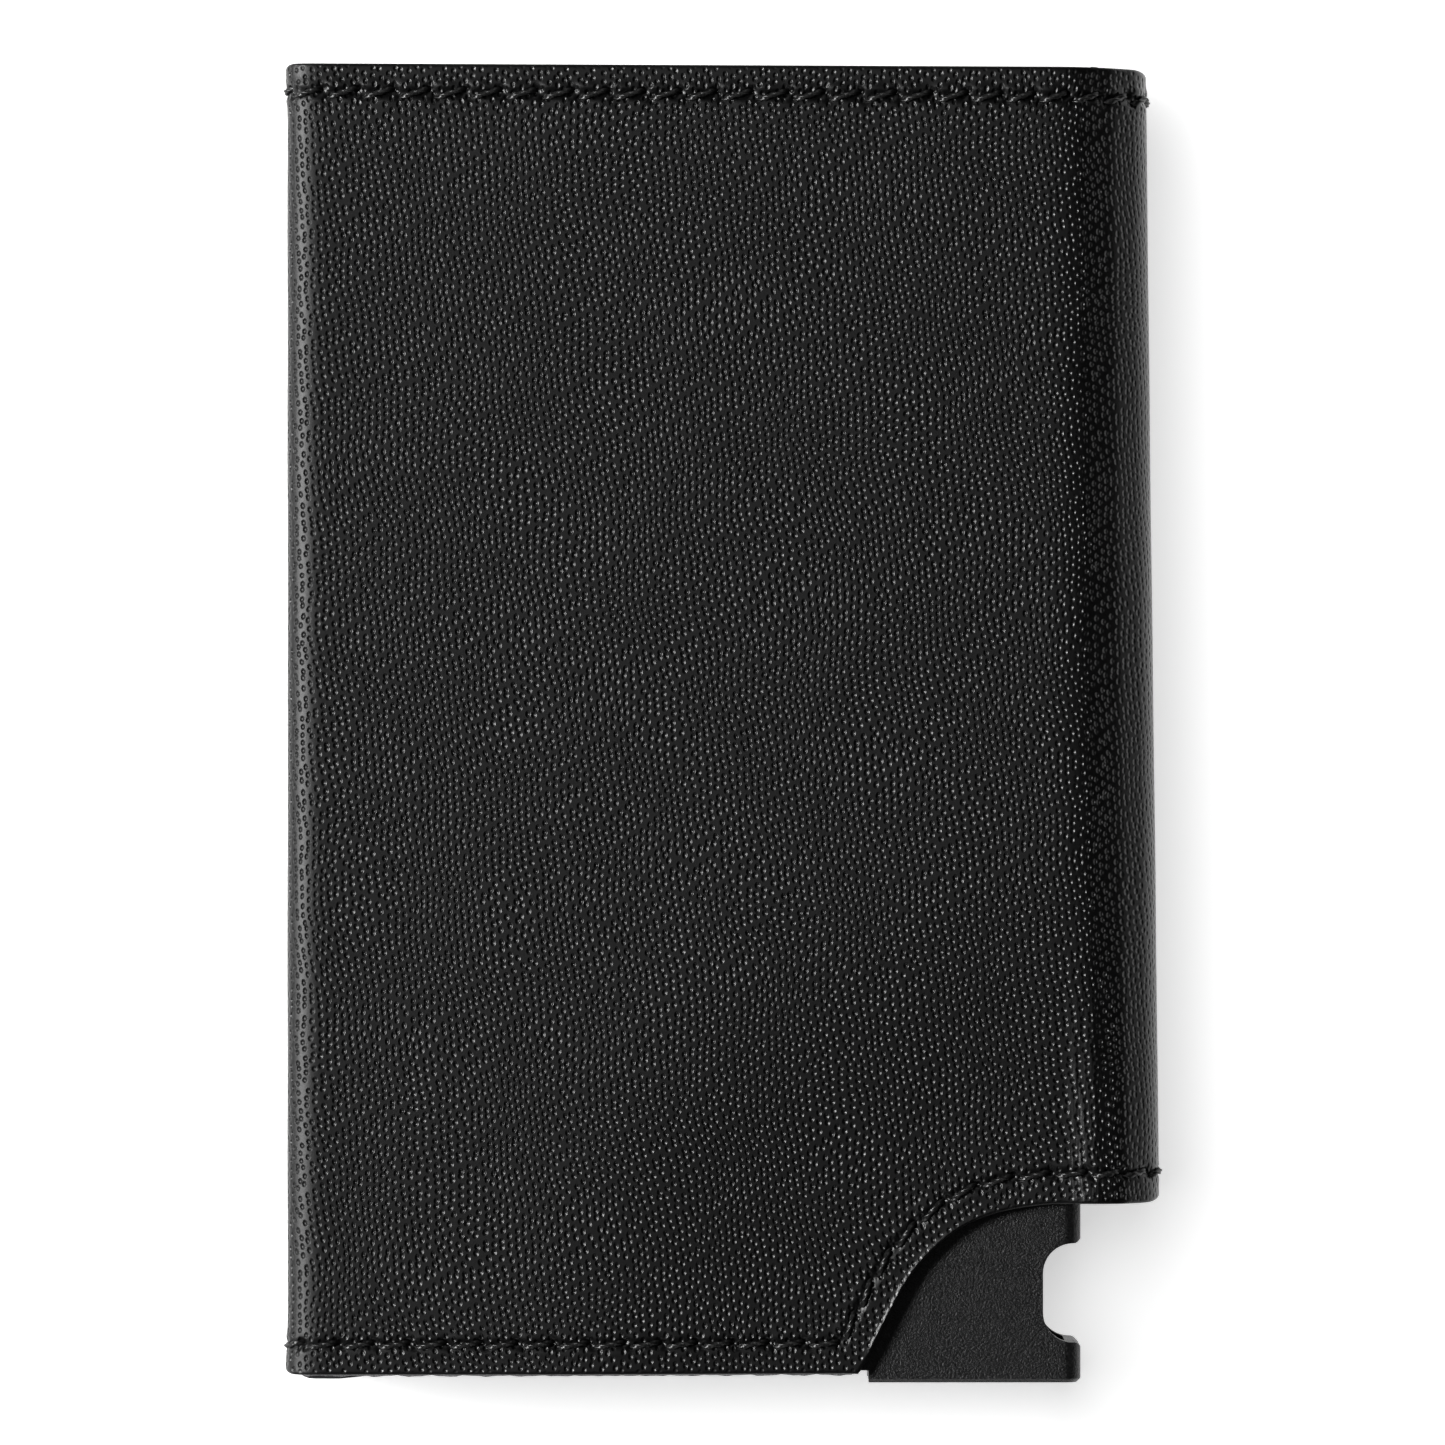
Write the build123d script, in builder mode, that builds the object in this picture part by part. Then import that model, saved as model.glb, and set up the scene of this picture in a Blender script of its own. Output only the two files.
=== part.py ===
"""Minimalist wallet: a leather book cover wrapped round an aluminium card case.

Millimetres. The wallet lies on its back: +X to the spine, +Y to the open end of the card case,
+Z up through the front flap. The origin is under the middle of the wallet, on its back face.
The cover opens like a book round two creases that run along Y at the right.
"""

from build123d import *
from math import atan2, cos, degrees, radians, sin, tan
import os

os.makedirs("parts", exist_ok=True)

# Card case: an extruded sleeve, open at the top, plugged at the bottom
case_width = 60.0
case_height = 92.0
case_thickness = 9.0
case_wall = 1.2
case_corner_radius = 1.3
case_bore_radius = 0.5
end_chamfer = 0.3
plug_thickness = 2.85
foot_length = 16.4
foot_drop = 0.95

# Thumb notch through the case's right edge
notch_depth = 2.93
notch_height = 7.65
notch_floor = 3.1
notch_corner_radius = 2.3
notch_lip = 0.35
notch_lip_radius = 0.45

# Card retention inside the case
spring_thickness = 0.3
spring_bow = 2.6
spring_width = 4.6
spring_length = 62.0
spring_foot = 4.0
grip_thickness = 0.4
grip_width = 9.0
grip_length = 66.0
grip_pitch = 26.0

# Cover
cover_width = 66.9
cover_height = 100.92
leather = 0.8
board = 0.4
lining = 0.2
pocket = 0.5
hem = 0.5
hem_width = 8.0
flap_clearance = 0.3
left_overhang = 1.13
case_inset = 0.78
crease_inset = 3.05
crease_gap = 0.15
board_margin = 0.8
board_to_crease = 3.4
pocket_mouth = 6.0
spine_lining_margin = 2.2

# Thumb cut-out in the lower right corner of both cover panels and the spine
cutout_height = 13.11
cutout_radius = 13.5
cutout_arc_inset = 7.5
cutout_slope = 63.0

# Sewing
seam_inset = 2.3
stitch_pitch = 2.75
stitch_length = 2.1
stitch_slant = 10.0
thread = 0.45
groove_width = 0.95
groove_depth = 0.25
seam_end_margin = 1.6

# Places that follow from the sizes
cover_left = -cover_width / 2
cover_right = cover_width / 2
case_bottom = -(cover_height + case_inset) / 2
cover_bottom = case_bottom + case_inset
cover_top = cover_bottom + cover_height
case_top = case_bottom + case_height
case_left = cover_left + left_overhang
case_right = case_left + case_width
case_centre_x = (case_left + case_right) / 2

back_stack = leather + board + lining + hem
front_stack = back_stack + pocket
case_back = back_stack
case_front = case_back + case_thickness
case_centre_z = (case_back + case_front) / 2
flap_inner = case_front + flap_clearance
total_thickness = flap_inner + front_stack

crease_x = cover_right - crease_inset
back_crease_z = leather
front_crease_z = total_thickness - leather
spine_centre_z = (back_crease_z + front_crease_z) / 2
panel_right = crease_x - crease_gap
board_right = crease_x - board_to_crease
cutout_top = cover_bottom + cutout_height
cutout_centre_x = cover_right - cutout_arc_inset

bore_width = case_width - 2 * case_wall
bore_thickness = case_thickness - 2 * case_wall
bore_left = case_left + case_wall
bore_right = case_right - case_wall
plug_top = case_bottom + plug_thickness
through = total_thickness + 2.0


def arc_radius(half_chord, rise):
    """Radius of the arc that rises by rise over a chord of twice half_chord."""
    return (half_chord**2 + rise**2) / (2 * rise)


def cutout_points(inset):
    """Foot of the slope, start of the arc, centre of the arc and its radius, moved into the leather."""
    slope = radians(cutout_slope)
    radius = cutout_radius + inset
    centre = (cutout_centre_x, cutout_top - cutout_radius)
    start = (centre[0] - radius * sin(slope), centre[1] + radius * cos(slope))
    foot_y = cover_bottom + inset
    foot = (start[0] - (start[1] - foot_y) / tan(slope), foot_y)
    return foot, start, centre, radius


def cut_thumb_opening(inset):
    """Takes the thumb cut-out, grown by inset, from the panel being built."""
    foot, start, centre, radius = cutout_points(inset)
    slope = radians(cutout_slope)
    low = foot[1] - inset - 1
    far = cover_right + 1
    with BuildSketch(Plane.XY.offset(-1)) as opening:
        with BuildLine():
            Line((start[0] - (start[1] - low) / tan(slope), low), start)
            CenterArc(centre, radius, 90 + cutout_slope, -cutout_slope)
            Line((centre[0], centre[1] + radius), (far, centre[1] + radius))
            Line((far, centre[1] + radius), (far, low))
            Line((far, low), (start[0] - (start[1] - low) / tan(slope), low))
        make_face()
    extrude(opening.sketch, amount=through, mode=Mode.SUBTRACT)


def plate(left, right, low_z, thickness, margin):
    """Adds a flat layer of a cover panel, margin in from the panel's top, bottom and cut-out."""
    with BuildSketch(Plane.XY.offset(low_z)) as layer:
        with BuildLine():
            Polyline(
                (left, cover_bottom + margin),
                (right, cover_bottom + margin),
                (right, cover_top - margin),
                (left, cover_top - margin),
                close=True,
            )
        make_face()
    extrude(layer.sketch, amount=thickness)
    cut_thumb_opening(margin)


def leather_panel(outer_z, inward, stack):
    """Adds an outer leather whose left edge is turned in round the layers below it as a hem."""
    fold_x = cover_left + stack / 2
    inner_z = outer_z + inward * leather
    hem_z = outer_z + inward * stack
    hem_outer_z = hem_z - inward * hem
    bend = (stack - leather - hem) / 2
    with BuildSketch(Plane.XZ.offset(-cover_top)) as section:
        with BuildLine():
            Line((panel_right, outer_z), (fold_x, outer_z))
            ThreePointArc(
                (fold_x, outer_z), (cover_left, (outer_z + hem_z) / 2), (fold_x, hem_z)
            )
            Line((fold_x, hem_z), (fold_x + hem_width, hem_z))
            Line((fold_x + hem_width, hem_z), (fold_x + hem_width, hem_outer_z))
            Line((fold_x + hem_width, hem_outer_z), (fold_x, hem_outer_z))
            ThreePointArc(
                (fold_x, hem_outer_z),
                (fold_x - bend, (inner_z + hem_outer_z) / 2),
                (fold_x, inner_z),
            )
            Line((fold_x, inner_z), (panel_right, inner_z))
            Line((panel_right, inner_z), (panel_right, outer_z))
        make_face()
    extrude(section.sketch, amount=cover_height)
    cut_thumb_opening(0)
    cut_groove(top_seam_path(stack), outer_z, inward)
    cut_groove(bottom_seam_path(stack), outer_z, inward)


def top_seam_path(stack):
    """The line of the top seam on a panel, from the fold to the crease."""
    y = cover_top - seam_inset
    with BuildLine() as path:
        Line((cover_left + stack / 2, y), (panel_right, y))
    return path.line


def bottom_seam_path(stack):
    """The line of the bottom seam on a panel, along the bottom, up the cut-out and to the crease."""
    foot, start, centre, radius = cutout_points(seam_inset)
    with BuildLine() as path:
        Line((cover_left + stack / 2, foot[1]), foot)
        Line(foot, start)
        CenterArc(centre, radius, 90 + cutout_slope, -cutout_slope)
        Line((centre[0], centre[1] + radius), (panel_right, centre[1] + radius))
    return path.line


def cut_groove(path, outer_z, inward):
    """Presses the seam's groove into a panel's outer face."""
    with BuildSketch(Plane.XY.offset(outer_z)) as groove:
        trace(path, groove_width)
    extrude(groove.sketch, amount=inward * groove_depth, mode=Mode.SUBTRACT)


def sew(path, outer_z, inward):
    """Adds the slanting stitches of a seam, lying in its groove."""
    wire = Wire(path.edges())
    span = wire.length - 2 * seam_end_margin
    count = round(span / stitch_pitch)
    places = []
    for index in range(count):
        share = (seam_end_margin + (index + 0.5) * span / count) / wire.length
        point = wire.position_at(share)
        tangent = wire.tangent_at(share)
        angle = degrees(atan2(tangent.Y, tangent.X)) + stitch_slant
        middle_z = outer_z + inward * groove_depth / 2
        places.append(Location((point.X, point.Y, middle_z), (0, 0, angle)))
    with Locations(*places):
        Box(stitch_length, thread, groove_depth)


def finish(piece, name):
    """Labels a finished piece and writes it."""
    piece.part.label = name
    export_step(piece.part, f"parts/{name}.step")


# Card case -----------------------------------------------------------------------------------


def cut_foot_relief():
    """Raises the bottom edge left of the foot, so that only the foot shows below the leather."""
    relief_width = case_width - foot_length
    with Locations((case_left - 1, case_bottom - 1, case_back - 1)):
        Box(
            relief_width + 1,
            foot_drop + 1,
            case_thickness + 2,
            align=(Align.MIN, Align.MIN, Align.MIN),
            mode=Mode.SUBTRACT,
        )


def cut_thumb_notch():
    """Cuts the notch, with rounded inner corners and an eased mouth, through the right edge."""
    floor_x = case_right - notch_depth
    low = case_bottom + notch_floor
    high = low + notch_height
    mouth = case_right - notch_lip
    with BuildSketch(Plane.XY.offset(case_back - 1)) as notch:
        with BuildLine():
            Polyline(
                (case_right + 1, low - notch_lip),
                (case_right, low - notch_lip),
                (mouth, low),
                (floor_x, low),
                (floor_x, high),
                (mouth, high),
                (case_right, high + notch_lip),
                (case_right + 1, high + notch_lip),
                close=True,
            )
        make_face()
        fillet(notch.vertices().group_by(Axis.X)[0], notch_corner_radius)
        lips = notch.vertices().group_by(Axis.X)[-3]
        fillet(lips, notch_lip_radius)
    extrude(notch.sketch, amount=case_thickness + 2, mode=Mode.SUBTRACT)


with BuildPart() as card_case:
    with BuildSketch(Plane.XZ.offset(-case_top)):
        with Locations((case_centre_x, case_centre_z)):
            RectangleRounded(case_width, case_thickness, case_corner_radius)
            RectangleRounded(bore_width, bore_thickness, case_bore_radius, mode=Mode.SUBTRACT)
    extrude(amount=case_height)
    foot_face = card_case.faces().sort_by(Axis.Y)[0]
    chamfer(foot_face.outer_wire().edges(), end_chamfer)
    mouth_face = card_case.faces().sort_by(Axis.Y)[-1]
    chamfer(mouth_face.outer_wire().edges(), end_chamfer)
    cut_foot_relief()
    cut_thumb_notch()
finish(card_case, "card_case")

with BuildPart() as end_plug:
    with BuildSketch(Plane.XZ.offset(-plug_top)):
        with Locations((case_centre_x, case_centre_z)):
            RectangleRounded(bore_width, bore_thickness, case_bore_radius)
    extrude(amount=plug_thickness)
    cut_foot_relief()
finish(end_plug, "end_plug")

# Bowed leaf spring along the left wall: it holds the cards against the notched side
with BuildPart() as pressure_spring:
    spring_low = plug_top
    spring_high = spring_low + spring_length
    spring_middle = (spring_low + spring_high) / 2
    with BuildSketch(Plane.XY.offset(case_centre_z - spring_width / 2)):
        with BuildLine():
            Line((bore_left, spring_low), (bore_left, spring_low + spring_foot))
            ThreePointArc(
                (bore_left, spring_low + spring_foot),
                (bore_left + spring_bow - spring_thickness, spring_middle),
                (bore_left, spring_high),
            )
            Line((bore_left, spring_high), (bore_left + spring_thickness, spring_high))
            ThreePointArc(
                (bore_left + spring_thickness, spring_high),
                (bore_left + spring_bow, spring_middle),
                (bore_left + spring_thickness, spring_low + spring_foot),
            )
            Line(
                (bore_left + spring_thickness, spring_low + spring_foot),
                (bore_left + spring_thickness, spring_low),
            )
            Line((bore_left + spring_thickness, spring_low), (bore_left, spring_low))
        make_face()
    extrude(amount=spring_width)
finish(pressure_spring, "pressure_spring")

# Felt strips on both inner faces: they give the cards their grip
grip_centre_x = (bore_left + spring_bow + bore_right) / 2
grip_centre_y = (plug_top + case_top) / 2
grip_faces = {
    "back_grip_strips": case_back + case_wall,
    "front_grip_strips": case_front - case_wall - grip_thickness,
}
for name, low_z in grip_faces.items():
    with BuildPart(Plane.XY.offset(low_z)) as grip_strips:
        with Locations((grip_centre_x, grip_centre_y)):
            with GridLocations(grip_pitch, 1, 2, 1):
                Box(
                    grip_width,
                    grip_length,
                    grip_thickness,
                    align=(Align.CENTER, Align.CENTER, Align.MIN),
                )
    finish(grip_strips, name)

# Back of the cover, with the case bonded to it -------------------------------------------------

with BuildPart() as back_leather:
    leather_panel(0, 1, back_stack)
finish(back_leather, "back_leather")

with BuildPart() as back_board:
    plate(cover_left + back_stack / 2, board_right, leather, board, board_margin)
finish(back_board, "back_board")

with BuildPart() as back_lining:
    plate(cover_left + back_stack / 2, board_right, leather + board, lining, 0)
finish(back_lining, "back_lining")

with BuildPart() as case_bond_pad:
    pad_left = cover_left + back_stack / 2 + hem_width
    plate(pad_left, board_right, back_stack - hem, hem, seam_inset + thread)
finish(case_bond_pad, "case_bond_pad")

# Front flap, with a slip pocket inside it ------------------------------------------------------

with BuildPart() as front_leather:
    leather_panel(total_thickness, -1, front_stack)
finish(front_leather, "front_leather")

flap_layer_left = cover_left + front_stack / 2
board_z = front_crease_z - board
with BuildPart() as front_board:
    plate(flap_layer_left, board_right, board_z, board, board_margin)
finish(front_board, "front_board")

with BuildPart() as front_lining:
    plate(flap_layer_left, board_right, board_z - lining, lining, 0)
finish(front_lining, "front_lining")

with BuildPart() as front_pocket_panel:
    pocket_z = board_z - lining - pocket
    plate(flap_layer_left, board_right - pocket_mouth, pocket_z, pocket, 0)
finish(front_pocket_panel, "front_pocket_panel")

# Spine: a loose bulge between the two creases --------------------------------------------------

spine_half = (front_crease_z - back_crease_z) / 2 - crease_gap
spine_rise = cover_right - crease_x - leather
spine_radius = arc_radius(spine_half, spine_rise)
spine_axis_x = cover_right - spine_radius
spine_bore_radius = arc_radius(spine_half, spine_rise)
spine_bore_x = cover_right - leather - spine_bore_radius
spine_low_z = spine_centre_z - spine_half
spine_high_z = spine_centre_z + spine_half
spine_height = cover_top - cutout_top
spine_seams = {
    "spine_top_seam": cover_top - seam_inset,
    "spine_cutout_seam": cutout_top + seam_inset,
}

with BuildPart() as spine_leather:
    with BuildSketch(Plane.XZ.offset(-cover_top)):
        with BuildLine():
            ThreePointArc(
                (crease_x + leather, spine_low_z),
                (cover_right, spine_centre_z),
                (crease_x + leather, spine_high_z),
            )
            Line((crease_x + leather, spine_high_z), (crease_x, spine_high_z))
            ThreePointArc(
                (crease_x, spine_high_z),
                (cover_right - leather, spine_centre_z),
                (crease_x, spine_low_z),
            )
            Line((crease_x, spine_low_z), (crease_x + leather, spine_low_z))
        make_face()
    extrude(amount=spine_height)
    for seam_y in spine_seams.values():
        with BuildSketch(Plane.XZ.offset(-(seam_y + groove_width / 2))):
            with Locations((spine_axis_x, spine_centre_z)):
                Circle(spine_radius + 1)
                Circle(spine_radius - groove_depth, mode=Mode.SUBTRACT)
        extrude(amount=groove_width, mode=Mode.SUBTRACT)
finish(spine_leather, "spine_leather")

with BuildPart() as spine_lining:
    with BuildSketch(Plane.XZ.offset(-cover_top)):
        with Locations((spine_bore_x, spine_centre_z)):
            Circle(spine_bore_radius)
            Circle(spine_bore_radius - lining, mode=Mode.SUBTRACT)
            Rectangle(
                spine_bore_radius,
                2 * (spine_half - spine_lining_margin),
                align=(Align.MIN, Align.CENTER),
                mode=Mode.INTERSECT,
            )
    extrude(amount=spine_height)
finish(spine_lining, "spine_lining")

# Stitches --------------------------------------------------------------------------------------

panels = {"back": (0, 1, back_stack), "front": (total_thickness, -1, front_stack)}
for side, (outer_z, inward, stack) in panels.items():
    with BuildPart() as top_seam:
        sew(top_seam_path(stack), outer_z, inward)
    finish(top_seam, f"{side}_top_seam")
    with BuildPart() as bottom_seam:
        sew(bottom_seam_path(stack), outer_z, inward)
    finish(bottom_seam, f"{side}_bottom_seam")

spine_sweep = 2 * degrees(atan2(spine_half, spine_radius - spine_rise))
spine_count = int(radians(spine_sweep) * spine_radius / stitch_pitch)
stitch_sagitta = stitch_length**2 / (8 * spine_radius)
for name, seam_y in spine_seams.items():
    places = []
    for index in range(spine_count):
        turn = (index - (spine_count - 1) / 2) * degrees(stitch_pitch / spine_radius)
        reach = spine_radius - groove_depth
        x = spine_axis_x + reach * cos(radians(turn))
        z = spine_centre_z + reach * sin(radians(turn))
        places.append(Location((x, seam_y, z), (0, -turn, 0)))
    with BuildPart() as spine_seam:
        with Locations(*places):
            Box(
                groove_depth - stitch_sagitta,
                thread,
                stitch_length,
                align=(Align.MIN, Align.CENTER, Align.CENTER),
            )
    finish(spine_seam, name)
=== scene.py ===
"""Looks of a minimalist wallet: a pebbled leather book cover round an aluminium card case.

The wallet lies on its back: +X to the spine, +Y to the open end of the case, +Z up through the
front flap. Sizes in the classes are millimetres; meshes are made in metres.
"""

import logging
import math
from dataclasses import dataclass, field
from enum import Enum
from typing import Any, Callable, Dict, List, Sequence, Tuple

import bmesh
import bpy
import numpy as np
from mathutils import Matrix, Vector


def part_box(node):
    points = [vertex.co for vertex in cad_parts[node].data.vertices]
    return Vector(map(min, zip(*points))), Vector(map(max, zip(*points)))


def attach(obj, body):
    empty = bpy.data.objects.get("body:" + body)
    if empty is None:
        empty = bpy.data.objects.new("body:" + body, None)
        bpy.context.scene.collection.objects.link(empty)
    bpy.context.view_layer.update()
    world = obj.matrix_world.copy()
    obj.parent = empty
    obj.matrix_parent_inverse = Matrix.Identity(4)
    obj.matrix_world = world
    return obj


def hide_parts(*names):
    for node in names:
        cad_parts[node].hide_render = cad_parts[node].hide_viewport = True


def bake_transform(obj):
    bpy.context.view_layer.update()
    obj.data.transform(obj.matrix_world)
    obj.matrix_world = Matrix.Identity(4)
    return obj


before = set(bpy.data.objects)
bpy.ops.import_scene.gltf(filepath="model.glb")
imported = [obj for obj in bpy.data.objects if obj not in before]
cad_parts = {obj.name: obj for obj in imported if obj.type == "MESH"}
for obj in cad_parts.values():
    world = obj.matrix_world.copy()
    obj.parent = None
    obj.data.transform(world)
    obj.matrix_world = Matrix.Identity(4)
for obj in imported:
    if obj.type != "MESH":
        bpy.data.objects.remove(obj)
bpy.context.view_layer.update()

MM = 0.001
PER_METRE = (1000.0, 1000.0, 1000.0)
MIDDLE_GREY = (0.5, 0.5, 0.5)
PANEL_WIDTH = 66.0
MERGE_DISTANCE = 0.002
FLAT_ANGLE = math.radians(0.5)
SHARP_ANGLE = math.radians(35.0)
ROUNDING_SEGMENTS = 2
FACE_WEIGHT = 90
LOG = logging.getLogger("wallet")
Array = np.ndarray
Triple = Tuple[float, float, float]


# Small tools -------------------------------------------------------------------------------------


def soft(share: Array) -> Array:
    """A smooth step: 0 up to a share of 0, 1 from a share of 1."""
    held = np.clip(share, 0, 1)
    return held * held * (3 - 2 * held)


def hill(share: Array) -> Array:
    """A smooth hill: 1 at 0, and 0 from -1 down and from 1 up."""
    return 0.5 + 0.5 * np.cos(math.pi * np.clip(share, -1, 1))


def box_mm(node: str) -> Tuple[Array, Array]:
    """The low and the high corner of a node's box, in millimetres."""
    low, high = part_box(node)
    return np.array(low) / MM, np.array(high) / MM


def place_data(name: str, data: Any) -> bpy.types.Object:
    """Puts a mesh, curve, light or camera in the scene.

    Args:
        name: the object's name.
        data: what the object shows.

    Returns:
        The new object.
    """
    obj = bpy.data.objects.new(name, data)
    bpy.context.scene.collection.objects.link(obj)
    return obj


def plain_mesh(obj: bpy.types.Object) -> bpy.types.Mesh:
    """The mesh that an object's modifiers make of it."""
    graph = bpy.context.evaluated_depsgraph_get()
    return bpy.data.meshes.new_from_object(obj.evaluated_get(graph), depsgraph=graph)


def add_node(tree: Any, kind: str, settings: Dict[str, Any], sockets: Dict[Any, Any]) -> Any:
    """Adds a node to a tree.

    Args:
        tree: the shader or geometry tree.
        kind: the node's type.
        settings: its properties, set before its sockets.
        sockets: values or sockets for its inputs, by name or number.

    Returns:
        The node.
    """
    node = tree.nodes.new(kind)
    for key, value in settings.items():
        setattr(node, key, value)
    for key, value in sockets.items():
        if isinstance(value, bpy.types.NodeSocket):
            tree.links.new(value, node.inputs[key])
        else:
            node.inputs[key].default_value = value
    return node


def smooth_faces(mesh: bpy.types.Mesh) -> None:
    """Shades every face of a mesh smooth."""
    mesh.polygons.foreach_set("use_smooth", np.ones(len(mesh.polygons), bool))


# Shader tools ------------------------------------------------------------------------------------


class Signal:
    """An output socket that takes part in arithmetic; each operator adds a Math node."""

    def __init__(self, dresser: "Dresser", socket: Any) -> None:
        """Wraps one output socket of a dresser's tree."""
        self.dresser = dresser
        self.socket = socket

    def math(self, operation: str, *operands: Any, clamp: bool = False) -> "Signal":
        """Adds a Math node.

        Args:
            operation: the node's operation.
            operands: its inputs, values or signals.
            clamp: whether the result is held between 0 and 1.

        Returns:
            The node's result.
        """
        settings = {"operation": operation, "use_clamp": clamp}
        return self.dresser.add("ShaderNodeMath", settings, dict(enumerate(operands)))["Value"]

    def __add__(self, other: Any) -> "Signal":
        """Adds."""
        return self.math("ADD", self, other)

    __radd__ = __add__

    def __sub__(self, other: Any) -> "Signal":
        """Subtracts."""
        return self.math("SUBTRACT", self, other)

    def __rsub__(self, other: Any) -> "Signal":
        """Subtracts this from a value."""
        return self.math("SUBTRACT", other, self)

    def __mul__(self, other: Any) -> "Signal":
        """Multiplies."""
        return self.math("MULTIPLY", self, other)

    __rmul__ = __mul__

    def ramp(self, low: float, high: float, start: float = 0.0, end: float = 1.0) -> "Signal":
        """Goes smoothly from start at low to end at high.

        Args:
            low: the value where the change begins.
            high: the value where it ends.
            start: the result below low.
            end: the result above high.

        Returns:
            The smoothed value.
        """
        settings = {"interpolation_type": "SMOOTHSTEP", "clamp": True}
        sockets = {"Value": self, "From Min": low, "From Max": high, "To Min": start, "To Max": end}
        return self.dresser.add("ShaderNodeMapRange", settings, sockets)["Result"]


class Outputs:
    """The outputs of a node, read by name as signals."""

    def __init__(self, dresser: "Dresser", node: Any) -> None:
        """Wraps a node of a dresser's tree."""
        self.dresser = dresser
        self.node = node

    def __getitem__(self, name: str) -> Signal:
        """The named output."""
        return Signal(self.dresser, self.node.outputs[name])


class Dresser:
    """Builds the node tree of one material round a Principled shader."""

    shine: float = 0.36

    def __init__(self, name: str) -> None:
        """Makes an empty material.

        Args:
            name: its name.
        """
        self.material = bpy.data.materials.new(name)
        self.material.use_nodes = True
        self.tree = self.material.node_tree
        self.tree.nodes.clear()

    def add(self, kind: str, settings: Dict[str, Any], sockets: Dict[Any, Any]) -> Outputs:
        """Adds a node.

        Args:
            kind: the node's type.
            settings: its properties, set before its sockets.
            sockets: values or signals for its inputs, by name or number.

        Returns:
            The node's outputs.
        """
        plain = {key: getattr(value, "socket", value) for key, value in sockets.items()}
        return Outputs(self, add_node(self.tree, kind, settings, plain))

    def surface_coordinates(self) -> Signal:
        """The piece's own coordinates over its surface, in millimetres."""
        return self.add("ShaderNodeUVMap", {"uv_map": "surface_mm"}, {})["UV"]

    def object_coordinates(self) -> Signal:
        """The place of a point in the wallet, in metres."""
        return self.add("ShaderNodeTexCoord", {}, {})["Object"]

    def attribute(self, name: str) -> Signal:
        """A mask stored on the mesh."""
        return self.add("ShaderNodeAttribute", {"attribute_name": name}, {})["Fac"]

    def scaled(self, vector: Signal, scale: Sequence[float]) -> Signal:
        """The vector times a scale along each axis."""
        return self.vector("MULTIPLY", vector, tuple(scale))

    def centred(self, vector: Signal) -> Signal:
        """The vector counted from a middle grey."""
        return self.vector("SUBTRACT", vector, MIDDLE_GREY)

    def vector(self, operation: str, *operands: Any) -> Signal:
        """The result of a Vector Math node."""
        settings = {"operation": operation}
        return self.add("ShaderNodeVectorMath", settings, dict(enumerate(operands)))["Vector"]

    def length(self, vector: Signal) -> Signal:
        """The length of a vector."""
        return self.add("ShaderNodeVectorMath", {"operation": "LENGTH"}, {0: vector})["Value"]

    def turned(self, vector: Signal, angle: float) -> Signal:
        """The vector turned about Z."""
        settings = {"rotation_type": "Z_AXIS"}
        return self.add("ShaderNodeVectorRotate", settings, {"Vector": vector, "Angle": angle})["Vector"]

    def shifted(self, vector: Signal, other: Signal, amount: float) -> Signal:
        """The vector moved by a share of another one, counted from its middle grey."""
        return self.vector("ADD", vector, self.scaled(self.centred(other), (amount,) * 3))

    def noise(self, vector: Signal, scale: float, detail: float = 2.0, rough: float = 0.5) -> Outputs:
        """Smooth noise over a vector."""
        sockets = {"Vector": vector, "Scale": scale, "Detail": detail, "Roughness": rough}
        return self.add("ShaderNodeTexNoise", {"noise_dimensions": "3D"}, sockets)

    def blend(self, share: Signal, low: Sequence[float], high: Sequence[float]) -> Signal:
        """Mixes two colours.

        Args:
            share: how much of the second colour there is.
            low: the first colour.
            high: the second colour.

        Returns:
            The mixed colour.
        """
        node = self.tree.nodes.new("ShaderNodeMix")
        node.data_type = "RGBA"
        colours = [socket for socket in node.inputs if socket.type == "RGBA"]
        colours[0].default_value = (*low, 1.0)
        colours[1].default_value = (*high, 1.0)
        self.tree.links.new(share.socket, node.inputs["Factor"])
        result = next(socket for socket in node.outputs if socket.type == "RGBA")
        return Signal(self, result)

    def bump(self, height: Signal, depth: float, below: Any = None) -> Signal:
        """Relief on the surface.

        Args:
            height: the relief, from 0 to 1.
            depth: the height in metres that 1 stands for.
            below: the relief that this one lies on.

        Returns:
            The bumped normal.
        """
        sockets = {"Height": height, "Distance": depth, "Strength": 1.0}
        if below is not None:
            sockets["Normal"] = below
        return self.add("ShaderNodeBump", {}, sockets)["Normal"]

    def close(self, **sockets: Any) -> bpy.types.Material:
        """Feeds the Principled shader and the output.

        Args:
            sockets: the shader's inputs, with spaces as underscores.

        Returns:
            The finished material.
        """
        named = {key.replace("_", " "): value for key, value in sockets.items()}
        named.setdefault("Specular IOR Level", self.shine)
        shader = self.add("ShaderNodeBsdfPrincipled", {}, named)
        output = self.tree.nodes.new("ShaderNodeOutputMaterial")
        self.tree.links.new(shader["BSDF"].socket, output.inputs["Surface"])
        return self.material


# Finishes ----------------------------------------------------------------------------------------


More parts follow.
